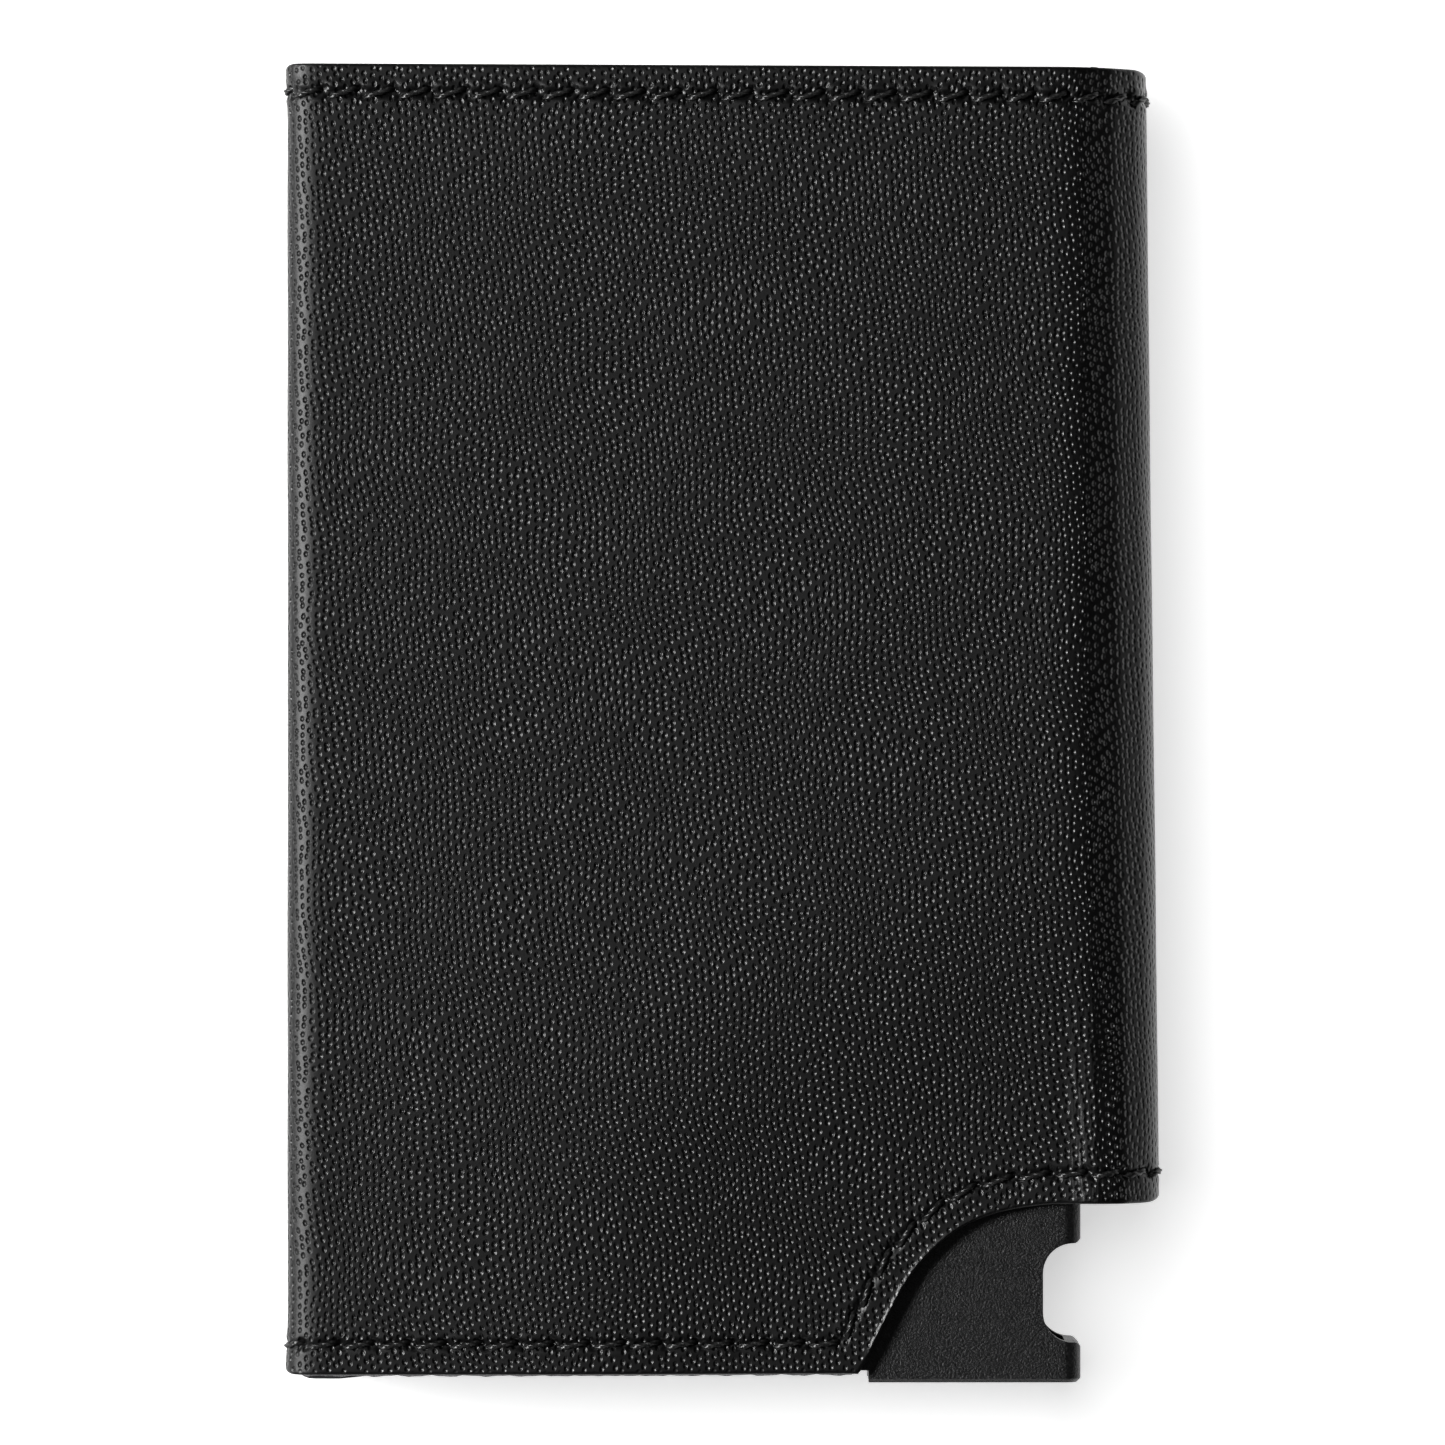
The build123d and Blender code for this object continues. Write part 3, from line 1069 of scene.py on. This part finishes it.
    def relief(self, s: Array, y: Array) -> Array:
        """How far the sewn, creased leather stands off its undisturbed face.

        Args:
            s: places along the section.
            y: heights up the wallet.

        Returns:
            The relief in millimetres.
        """
        a, b, c, d = self.ripple_waves
        lift = self.ripple * np.sin(s * a + y * b) * np.sin(y * c - s * d)
        for seam in self.seams.values():
            along, offset = seam.local(s, y)
            lift -= self.groove_depth * seam.pull * np.exp(-((offset / self.groove_reach) ** 2))
            for side, spot, strength in self.puckers:
                swell = hill(2 * seam.reach(along, spot) / seam.pitch)
                near = np.exp(-(((offset - side) / self.pucker_reach) ** 2))
                lift += self.pucker * seam.pull * strength * near * swell
            for end, past, radius, strength in self.holes:
                along_gap = seam.reach(along, end * (seam.length / 2 + past))
                gap = along_gap**2 + (offset - end * seam.slant * seam.length) ** 2
                lift -= self.hole_depth * strength * np.exp(-gap / radius**2)
        ends = np.minimum(self.outline.top - y, y - self.outline.bottom)
        sideways = np.clip(-self.section.at(s)[2], 0, 1)
        lift += self.flare * sideways * np.exp(-((ends / self.flare_reach) ** 2))
        return lift

    def rows(self) -> Tuple[Array, Array]:
        """Lays out the grid's rows.

        Returns:
            Insets near an edge, in millimetres, and shares of the middle stretch.
        """
        near = np.concatenate([self.edge_rows, np.arange(*self.close_rows), self.wide_rows])
        return near, np.linspace(0, 1, self.middle_rows)[1:-1]

    def columns(self) -> Array:
        """Places along the section of the grid's columns."""
        return np.linspace(0, self.section.length, int(self.section.length / self.column_step))

    def heights(self, s: Array) -> Array:
        """Works out the grid's heights.

        Args:
            s: the columns' places along the section.

        Returns:
            The y at every row and column.
        """
        near, middle = self.rows()
        x = self.section.at(s)[0]
        away = np.abs(s - self.section.nose_place())
        round_spine = hill((self.section.length - s) / self.spine_reach)
        pull = self.corner * np.clip(1 - away / self.corner_reach, 0, 1) ** 2
        pull = pull + self.spine_corner * round_spine
        pulls = [pull * math.exp(-d / self.pull_fade) for d in near]
        low = [self.outline.low_edge(x, np.full_like(x, d)) + more for d, more in zip(near, pulls)]
        high = [self.top_edge(x) - d - more for d, more in zip(near, pulls)]
        span = high[-1] - low[-1]
        return np.concatenate([low, low[-1] + middle[:, None] * span, high[::-1]])

    def build(self, name: str) -> bpy.types.Object:
        """Makes the leather as one closed piece with rounded edges in edge paint, whose lighter colour is
        partly a painted sheen.

        Args:
            name: the piece's name.

        Returns:
            The leather.
        """
        s_row = self.columns()
        y = self.heights(s_row)
        s = np.broadcast_to(s_row, y.shape)
        near, middle = self.rows()
        inset = np.concatenate([near, np.full(len(middle), near[-1]), near[::-1]])[:, None]
        lift = self.relief(s, y)
        bevel = np.clip(1 - inset / self.bevel_reach, 0, 1) ** 2
        from_nose = s - self.section.nose_place()
        x = self.section.at(s)[0]
        (first, last), (fade_in, fade_out) = self.curl_ends, self.curl_fades
        cut = np.clip((x - first) / fade_in, 0, 1) * np.clip((last - x) / fade_out, 0, 1) * (y < 0)
        lift = lift + self.curl * cut * np.exp(-(((inset - self.curl_place) / self.curl_reach) ** 2))
        at_hem = np.clip(1 - s / self.hem_round_reach, 0, 1) ** 2
        lift = lift - self.edge_round * np.maximum(bevel * (1 - self.curl_sharpness * cut), at_hem)
        skive = np.clip((self.skive_start - from_nose) / self.skive_reach, 0, 1)
        thick = self.leather + (self.hem - self.leather) * skive
        outer = self.place(s, y, lift)
        low_side = (np.arange(len(y)) < len(y) // 2)[:, None]
        inner_y = y - self.lip * low_side * np.exp(-inset / self.lip_reach)
        inner = self.place(s, inner_y, self.inner_round * bevel - thick)
        smooth = np.clip(self.plain_start - inset / self.plain_margin, 0, 1) * np.ones_like(s)
        surface = np.stack([self.surface_u(s), y], -1)
        finishes = (Finish.COVER, Finish.LINING, Finish.EDGE)
        return mesh_from_grid(name, outer, inner, surface, smooth, self.side is Side.BACK, finishes)


# Thread ------------------------------------------------------------------------------------------


@dataclass
class ThreadMaker:
    """Turns stitch paths into twisted thread with Geometry Nodes."""

    radius: float = 0.20
    lobes: int = 3
    lobe_depth: float = 0.26
    twist_per_mm: float = 2.6
    sides: int = 12

    def tree(self) -> bpy.types.NodeTree:
        """Builds the node group: a lobed profile swept along twisted paths.

        Returns:
            The group.
        """
        group = bpy.data.node_groups.new("twisted_thread", "GeometryNodeTree")
        inputs = (
            ("Paths", "NodeSocketGeometry", None),
            ("Radius", "NodeSocketFloat", self.radius * MM),
            ("Lobes", "NodeSocketFloat", float(self.lobes)),
            ("Lobe Depth", "NodeSocketFloat", self.lobe_depth),
            ("Twist", "NodeSocketFloat", self.twist_per_mm / MM),
            ("Finish", "NodeSocketMaterial", None),
        )
        for name, kind, value in inputs:
            socket = group.interface.new_socket(name, in_out="INPUT", socket_type=kind)
            if value is not None:
                socket.default_value = value
        group.interface.new_socket("Thread", in_out="OUTPUT", socket_type="NodeSocketGeometry")

        def add(kind: str, settings: Dict[str, Any], sockets: Dict[Any, Any]) -> Any:
            """Adds a node and gives its first output."""
            return add_node(group, kind, settings, sockets).outputs[0]

        def maths(operation: str, *operands: Any) -> Any:
            """Adds a Math node and gives its result."""
            return add("ShaderNodeMath", {"operation": operation}, dict(enumerate(operands)))

        given = group.nodes.new("NodeGroupInput").outputs
        round_shape = {"Resolution": self.sides, "Radius": given["Radius"]}
        circle = add("GeometryNodeCurvePrimitiveCircle", {"mode": "RADIUS"}, round_shape)
        position = add("GeometryNodeInputPosition", {}, {})
        apart = add_node(group, "ShaderNodeSeparateXYZ", {}, {0: position}).outputs
        angle = maths("ARCTAN2", apart[1], apart[0])
        wave = maths("COSINE", maths("MULTIPLY", angle, given["Lobes"]))
        swell = maths("ADD", 1.0, maths("MULTIPLY", wave, given["Lobe Depth"]))
        scaled = add("ShaderNodeVectorMath", {"operation": "SCALE"}, {0: position, "Scale": swell})
        profile = add("GeometryNodeSetPosition", {}, {"Geometry": circle, "Position": scaled})
        along = add_node(group, "GeometryNodeSplineParameter", {}, {}).outputs["Length"]
        tilt = maths("MULTIPLY", along, given["Twist"])
        turned = add("GeometryNodeSetCurveTilt", {}, {"Curve": given["Paths"], "Tilt": tilt})
        sweep = {"Curve": turned, "Profile Curve": profile, "Fill Caps": True}
        swept = add("GeometryNodeCurveToMesh", {}, sweep)
        shaded = add("GeometryNodeSetShadeSmooth", {}, {"Geometry": swept})
        real = add("GeometryNodeRealizeInstances", {}, {"Geometry": shaded})
        dressed = add("GeometryNodeSetMaterial", {}, {"Geometry": real, "Material": given["Finish"]})
        group.links.new(dressed, group.nodes.new("NodeGroupOutput").inputs[0])
        return group

    def sew(self, name: str, paths: List[Array]) -> bpy.types.Object:
        """Makes thread along paths.

        Args:
            name: the piece's name.
            paths: each stitch's centreline, in millimetres.

        Returns:
            The thread as one plain mesh.
        """
        curve = bpy.data.curves.new(name + "_paths", "CURVE")
        curve.dimensions = "3D"
        for path in paths:
            spline = curve.splines.new("POLY")
            spline.points.add(len(path) - 1)
            flat = np.concatenate([path * MM, np.ones((len(path), 1))], 1)
            spline.points.foreach_set("co", flat.ravel())
        carrier = place_data(name + "_paths", curve)
        group = bpy.data.node_groups.get("twisted_thread") or self.tree()
        modifier = carrier.modifiers.new("thread", "NODES")
        modifier.node_group = group
        for item in group.interface.items_tree:
            if item.in_out == "INPUT" and item.name == "Finish":
                modifier[item.identifier] = Finish.THREAD.material()
        mesh = plain_mesh(carrier)
        mesh.name = name
        obj = place_data(name, mesh)
        bpy.data.objects.remove(carrier)
        return obj


@dataclass
class Stitching:
    """The stitches of one half of the cover, sorted by the body they ride on."""

    half: CoverHalf
    crown: float = 0.10
    sink: float = 0.50
    points: int = 11

    def stitch(self, seam: Seam, centre: float) -> Array:
        """Lays one stitch, arched over the leather and diving in at its ends.

        Args:
            seam: the seam it belongs to.
            centre: its middle's distance along the seam.

        Returns:
            Its centreline.
        """
        share = np.linspace(-1, 1, self.points)
        spot = seam.point(centre + share * seam.length / 2)
        aside = share * seam.slant * seam.length
        spot = spot + seam.across(np.full(self.points, centre)) * aside[:, None]
        crown = self.crown if self.half.side is Side.FRONT else 0.0
        lift = crown - self.sink * np.abs(share) ** 4
        return self.half.place(spot[:, 0], spot[:, 1], lift)

    def paths(self, seam: Seam, low: float, high: float) -> List[Array]:
        """Lays the stitches whose middles lie between two places.

        Args:
            seam: the seam.
            low: the first place along the section.
            high: the place past the last one.

        Returns:
            Their centrelines.
        """
        found = []
        for centre in seam.centres():
            s = seam.point(np.array([centre]))[0, 0]
            if low <= s < high:
                found.append(self.stitch(seam, centre))
        return found


# Flat layers -------------------------------------------------------------------------------------


@dataclass
class Layer:
    """A flat or bent layer inside the cover, from the fold towards the spine."""

    half: CoverHalf
    depths: Callable[[Array], Array]
    thickness: float
    left: float
    right: float
    margin: float = 0.0
    rough_edge: float = 0.0
    tuck: float = 0.0
    droop: float = 0.0
    raw_rows: int = 0
    cut_margin: float = 0.15
    top_margin: float = 0.15
    near_rows: Tuple[float, ...] = (0, 0.1, 0.3, 0.8)
    middle_rows: int = 60
    column_step: float = 0.45
    wear_waves: Tuple[Tuple[float, float], ...] = ((5.1, 0.0), (11.7, 2.0), (2.3, 0.0))
    wear_reach: float = 0.2
    tuck_reach: float = 1.2
    droop_from: float = -27.0
    droop_reach: float = 2.5
    step_height: float = 0.26
    step_place: float = 29.2
    step_reach: float = 0.55
    samples: int = 600

    def flat_size(self) -> Tuple[float, float, float]:
        """Measures the cut when flat.

        Returns:
            Its width, height and area, in metres.
        """
        x = np.linspace(self.left, self.right, self.samples)
        width = float(np.hypot(np.diff(x), np.diff(self.depths(x))).sum())
        outline = self.half.outline
        low = outline.low_edge(x, np.full_like(x, self.margin), self.cut_margin - self.margin)
        fall = self.half.top_fall * np.clip((x - x[0]) / PANEL_WIDTH, 0, 1)
        top = outline.top - max(self.margin, self.top_margin) - fall
        height = float((top - low).max())
        area = float((top - low).mean()) * width
        return width * MM, height * MM, area * MM * MM

    def build(self, name: str, finishes: Tuple[Finish, Finish, Finish]) -> bpy.types.Object:
        """Makes the layer.

        Args:
            name: the piece's name.
            finishes: those of its outer face, inner face and edges.

        Returns:
            The new object.
        """
        half = self.half
        x_row = np.linspace(self.left, self.right, int((self.right - self.left) / self.column_step))
        near = np.array(self.near_rows)
        middle = np.linspace(0, 1, self.middle_rows)[1:-1]
        waves = [np.sin(x_row * rate + start) for rate, start in self.wear_waves]
        wear = self.rough_edge * sum(waves) / len(waves)
        corner = self.tuck * np.clip(1 - (x_row - self.left) / self.tuck_reach, 0, 1) ** 2
        low = [half.outline.low_edge(x_row, self.margin + d, self.cut_margin - self.margin) for d in near]
        sag = self.droop * np.clip((self.droop_from - x_row) / self.droop_reach, 0, 1)
        low = np.array(low) - (wear + sag - corner) * np.exp(-near / self.wear_reach)[:, None]
        step = self.step_height * np.exp(-(((x_row - self.step_place) / self.step_reach) ** 4))
        top = half.top_edge(x_row) - max(self.margin, self.top_margin) + step
        high = np.array([top - d - corner for d in near])[::-1]
        y = np.concatenate([low, low[-1] + middle[:, None] * (high[0] - low[-1]), high])
        x = np.broadcast_to(x_row, y.shape)
        depth = self.depths(x_row) + half.sag(x, y)
        leaning = soft((x - half.lean_start) / half.lean_reach)
        x = x - half.lean * (y - half.lean_level) * leaning
        outer = np.stack([x, y, half.face_z + half.inward * depth], -1)
        inner = np.stack([x, y, half.face_z + half.inward * (depth + self.thickness)], -1)
        flipped = half.side is Side.BACK
        mask = np.zeros_like(x)
        return mesh_from_grid(name, outer, inner, outer[..., :2], mask, flipped, finishes, self.raw_rows)


# Sub-assemblies ----------------------------------------------------------------------------------


def dress_node(node: str, finish: Finish) -> None:
    """Gives a carried-over node its finish.

    Args:
        node: the node's name.
        finish: its finish.
    """
    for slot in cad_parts[node].material_slots:
        slot.material = finish.material()
    LOG.info("dressed %s", node)


def enter(piece: bpy.types.Object, nodes: Sequence[str], body: str = "") -> None:
    """Hangs a finished piece on its body, hides the nodes it stands for and logs it.

    Args:
        piece: the piece.
        nodes: the nodes it stands for.
        body: the body it rides on, if any.
    """
    if body:
        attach(piece, body)
    if nodes:
        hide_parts(*nodes)
    LOG.info("built %s with %d faces", piece.name, len(piece.data.polygons))


@dataclass
class Cover:
    """The whole leather cover: two halves, their threads, linings, boards and pocket."""

    board: float = 0.4
    lining: float = 0.2
    pocket: float = 0.5
    pocket_out: float = 0.5
    fold_out: float = 0.10
    arc_from_spine: float = 7.5
    board_end: float = 27.0
    board_fade: float = 1.4
    lining_gap: float = 0.03
    lining_start: float = 1.2
    lining_stop: float = 0.4
    crease_before: float = 0.7
    crease_after: float = 0.9
    crease_spread: Tuple[float, float] = (-0.5, 0.9)
    crease_x: float = field(init=False)
    front: CoverHalf = field(init=False)
    back: CoverHalf = field(init=False)

    def __post_init__(self) -> None:
        """Reads the cover's places from the frame."""
        low, high = box_mm("front_leather")
        spine_low, spine_high = box_mm("spine_leather")
        back_low, back_high = box_mm("back_leather")
        top_seam = sum(corner[1] for corner in box_mm("front_top_seam")) / 2
        self.crease_x = spine_low[0]
        outline = Outline(low[1], high[1], spine_low[1], spine_high[0] - self.arc_from_spine)
        middle = (spine_low[2] + spine_high[2]) / 2
        halves = (
            (Side.FRONT, high[2], high[2] - low[2], high[2] - middle),
            (Side.BACK, back_low[2], back_high[2] - back_low[2], middle),
        )
        self.front, self.back = (
            CoverHalf(
                side,
                Section(low[0] - self.fold_out, spine_high[0], stack, depth),
                outline,
                face_z,
                top_seam,
                high[1] - top_seam,
            )
            for side, face_z, stack, depth in halves
        )

    def build(self) -> None:
        """Makes and places every piece of the cover."""
        self.build_half(self.front, "front", "front_flap", ["front_leather", "spine_leather"])
        self.build_half(self.back, "back", "root", ["back_leather"])
        self.build_pocket()
        self.build_board()
        dress_node("back_board", Finish.BOARD)
        dress_node("case_bond_pad", Finish.PAD)

    def bend(self, piece: bpy.types.Object, half: CoverHalf) -> None:
        """Works out the ends of a piece's crease, which are not used, and bakes the piece's place into its
        mesh.

        Args:
            piece: the piece.
            half: the half it belongs to.
        """
        z = half.face_z + half.inward * half.leather
        (back, on), (up, down) = (self.crease_before, self.crease_after), self.crease_spread
        start = ((self.crease_x - back) * MM, 0.0, (z + up * half.inward) * MM)
        end = ((self.crease_x + on) * MM, 0.0, (z + down * half.inward) * MM)
        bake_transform(piece)

    def build_half(self, half: CoverHalf, word: str, body: str, nodes: List[str]) -> None:
        """Makes one half's leather, lining and threads.

        Args:
            half: the half to build.
            word: the first word of its pieces' names.
            body: the body that its panel rides on.
            nodes: the nodes that its leather stands for.
        """
        in_front = half.side is Side.FRONT
        leather = half.build(word + "_cover_leather")
        self.bend(leather, half)
        enter(leather, nodes)
        layer = self.lining_layer(half)
        lining = layer.build(word + "_cover_lining", (Finish.LINING, Finish.LINING, Finish.RAW_EDGE))
        self.bend(lining, half)
        enter(lining, [word + "_lining", "spine_lining"][: 2 if in_front else 1])
        width, height, area = layer.flat_size()
        stitching = Stitching(half)
        maker = ThreadMaker()
        crease = half.section.place_of(self.crease_x)
        spine_seams = {"top": ["spine_top_seam"], "bottom": ["spine_cutout_seam"]}
        for seam_name, seam in half.seams.items():
            start = f"{word}_{seam_name}"
            thread = maker.sew(start + "_stitches", stitching.paths(seam, 0, crease))
            enter(thread, [start + "_seam"], body)
            thread = maker.sew(start + "_spine_stitches", stitching.paths(seam, crease, math.inf))
            enter(thread, spine_seams[seam_name] if in_front else [], "spine")

    def lining_layer(self, half: CoverHalf) -> Layer:
        """Plans the lining: under the board, then up against the bare leather, as far as the crease.

        Args:
            half: the half it belongs to.

        Returns:
            The lining.
        """
        section = half.section
        outer = section.table[:, 0] > section.nose_place()

        def depths(x: Array) -> Array:
            """Works out the depth of the lining's outer face.

            Args:
                x: places across the panel.

            Returns:
                The depths.
            """
            under_board = half.leather + self.board
            bare = np.interp(x, section.table[outer, 1], section.table[outer, 2])
            rise = bare + half.leather + self.lining_gap - under_board
            return under_board + rise * soft((x - self.board_end) / self.board_fade)

        left, right = section.left + self.lining_start, self.crease_x - self.lining_stop
        return Layer(half, depths, self.lining, left, right, margin=-0.17, rough_edge=0.08, raw_rows=1)

    def build_board(self) -> None:
        """Makes the front board, which bows with the leather and stops short of the cut-out."""
        low, high = box_mm("front_board")
        margin = low[1] - self.front.outline.bottom
        depths = self.level(high[2])
        layer = Layer(self.front, depths, self.board, low[0], high[0], margin, cut_margin=3.5)
        board = layer.build("front_stiffener", (Finish.BOARD, Finish.BOARD, Finish.BOARD))
        enter(board, ["front_board"], "front_flap")

    def level(self, z: float) -> Callable[[Array], Array]:
        """The depths of a flat layer whose outer face is at z."""
        return lambda x: np.full_like(x, self.front.face_z - z)

    def build_pocket(self) -> None:
        """Makes the flap's slip pocket panel."""
        low, high = box_mm("front_pocket_panel")
        cut = {"margin": -0.12, "tuck": 0.5, "droop": 0.26, "cut_margin": 15.5}
        left = low[0] - self.pocket_out
        layer = Layer(self.front, self.level(high[2]), self.pocket, left, high[0], **cut)
        pocket = layer.build("flap_pocket_panel", (Finish.LINING, Finish.POCKET, Finish.EDGE))
        enter(pocket, ["front_pocket_panel"], "front_flap")


@dataclass
class CardCase:
    """The metal case with its plug, spring and grip strips."""

    bevel: float = 0.17

    def build(self) -> None:
        """Makes the metal pieces and dresses the rest."""
        for node, name, finish, slot in (
            ("card_case", "card_case_sleeve", Finish.CASE, "case_metal"),
            ("end_plug", "card_case_plug", Finish.PLUG, "plug_metal"),
        ):
            enter(smooth_copy(node, name, finish, self.bevel), [node], "root")
        dress_node("pressure_spring", Finish.SPRING)
        dress_node("back_grip_strips", Finish.FELT)
        dress_node("front_grip_strips", Finish.FELT)


# Studio ------------------------------------------------------------------------------------------


@dataclass
class Studio:
    """The pale floor, the soft lights and the camera straight above."""

    field_width: float = 0.11115
    camera_height: float = 0.740
    sensor: float = 36.0
    target: Tuple[float, float] = (0.0, 0.00012)
    floor_level: float = -0.00026
    floor_half: float = 3.0
    dip_depth: float = 0.0024
    dip_half_width: float = 0.0115
    dip_end: float = 0.020
    floor_grey: float = 0.88
    floor_roughness: float = 0.9
    floor_glow: float = 0.58
    ambient: float = 0.02
    near_limit: float = 0.05
    lamps: Tuple[Tuple[Any, ...], ...] = (
        ("key", (-0.60, 0.07, 0.60), 0.20, 0.30, 14.2, False),
        ("floor_wash", (-0.22, 0.20, 0.70), 0.70, 0.70, 5.5, True),
        ("left_wash", (-0.30, 0.05, 0.14), 0.20, 0.30, 1.8, True),
        ("overhead_card", (0.0, 0.0, 0.90), 0.44, 0.44, 0.29, False),
        ("near_card", (0.0, -0.80, 0.28), 0.50, 0.30, 0.60, False),
        ("far_card", (0.0, 0.80, 0.28), 0.50, 0.30, 0.60, False),
    )

    def build(self) -> None:
        """Sets up everything round the wallet."""
        floor = self.build_floor()
        self.build_camera()
        for name, place, width, height, power, floor_only in self.lamps:
            self.link(self.light(name, place, width, height, power), floor, floor_only)
        world = bpy.data.worlds.new("studio")
        bpy.context.scene.world = world
        world.use_nodes = True
        sockets = world.node_tree.nodes["Background"].inputs
        sockets["Color"].default_value = (1.0, 1.0, 1.0, 1.0)
        sockets["Strength"].default_value = self.ambient
        bpy.context.scene.view_settings.view_transform = "Standard"

    def build_floor(self) -> bpy.types.Object:
        """Lays the floor under the wallet, with a shallow dip that takes the spine when it lies open.

        Returns:
            The floor.
        """
        mesh = bpy.data.meshes.new("floor")
        low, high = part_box("spine_leather")
        half = self.floor_half
        middle = low[0] + (high[2] - low[2]) / 2
        across = middle + self.dip_half_width * np.linspace(-1, 1, 41)
        along = high[1] + self.dip_end * np.linspace(0, 1, 9)
        x = np.concatenate([[-half], across, [half]])
        y = np.concatenate([[-half], -along[::-1], along, [half]])
        dip_x = hill((x - middle) / self.dip_half_width)
        dip_y = hill((np.abs(y) - high[1]) / self.dip_end)
        z = self.floor_level - self.dip_depth * dip_y[:, None] * dip_x
        grid = np.stack([*np.meshgrid(x, y), z], -1)
        index = np.arange(z.size).reshape(z.shape)
        corners = (index[:-1, :-1], index[:-1, 1:], index[1:, 1:], index[1:, :-1])
        faces = np.stack([corner.ravel() for corner in corners], 1)
        mesh.from_pydata(grid.reshape(-1, 3).tolist(), [], faces.tolist())
        smooth_faces(mesh)
        floor = place_data("floor", mesh)
        paper = Dresser("floor_paper").close(
            Base_Color=(self.floor_grey,) * 3 + (1.0,),
            Roughness=self.floor_roughness,
            Emission_Color=(1.0, 1.0, 1.0, 1.0),
            Emission_Strength=self.floor_glow,
        )
        mesh.materials.append(paper)
        return floor

    def link(self, light: bpy.types.Object, floor: bpy.types.Object, only: bool) -> None:
        """Keeps a light to the floor, or off it.

        Args:
            light: the light.
            floor: the floor.
            only: whether the light reaches the floor only.
        """
        reached = bpy.data.collections.new(light.name + "_reach")
        reached.objects.link(floor)
        reached.collection_objects[0].light_linking.link_state = "INCLUDE" if only else "EXCLUDE"
        light.light_linking.receiver_collection = reached

    def build_camera(self) -> None:
        """Hangs the camera over the wallet, looking straight down."""
        camera = bpy.data.cameras.new("camera")
        camera.sensor_width = self.sensor
        camera.lens = self.sensor * self.camera_height / self.field_width
        camera.clip_start = self.near_limit
        obj = place_data("camera", camera)
        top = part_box("front_leather")[1][2]
        obj.location = (*self.target, top + self.camera_height)
        bpy.context.scene.camera = obj

    def light(
        self, name: str, place: Tuple[float, float, float], width: float, height: float, power: float
    ) -> bpy.types.Object:
        """Adds a soft rectangular light that faces the wallet.

        Args:
            name: the light's name.
            place: where it is, in metres.
            width: its width.
            height: its height.
            power: its power in watts.

        Returns:
            The light.
        """
        data = bpy.data.lights.new(name, "AREA")
        data.shape = "RECTANGLE"
        data.size = width
        data.size_y = height
        data.energy = power
        obj = place_data(name, data)
        obj.location = place
        obj.rotation_euler = (-obj.location).to_track_quat("-Z", "Y").to_euler()
        return obj


def main() -> None:
    """Builds the wallet in order."""
    logging.basicConfig(level=logging.INFO, format="%(name)s: %(message)s")
    Studio().build()
    CardCase().build()
    Cover().build()


if __name__ == "__main__":
    main()
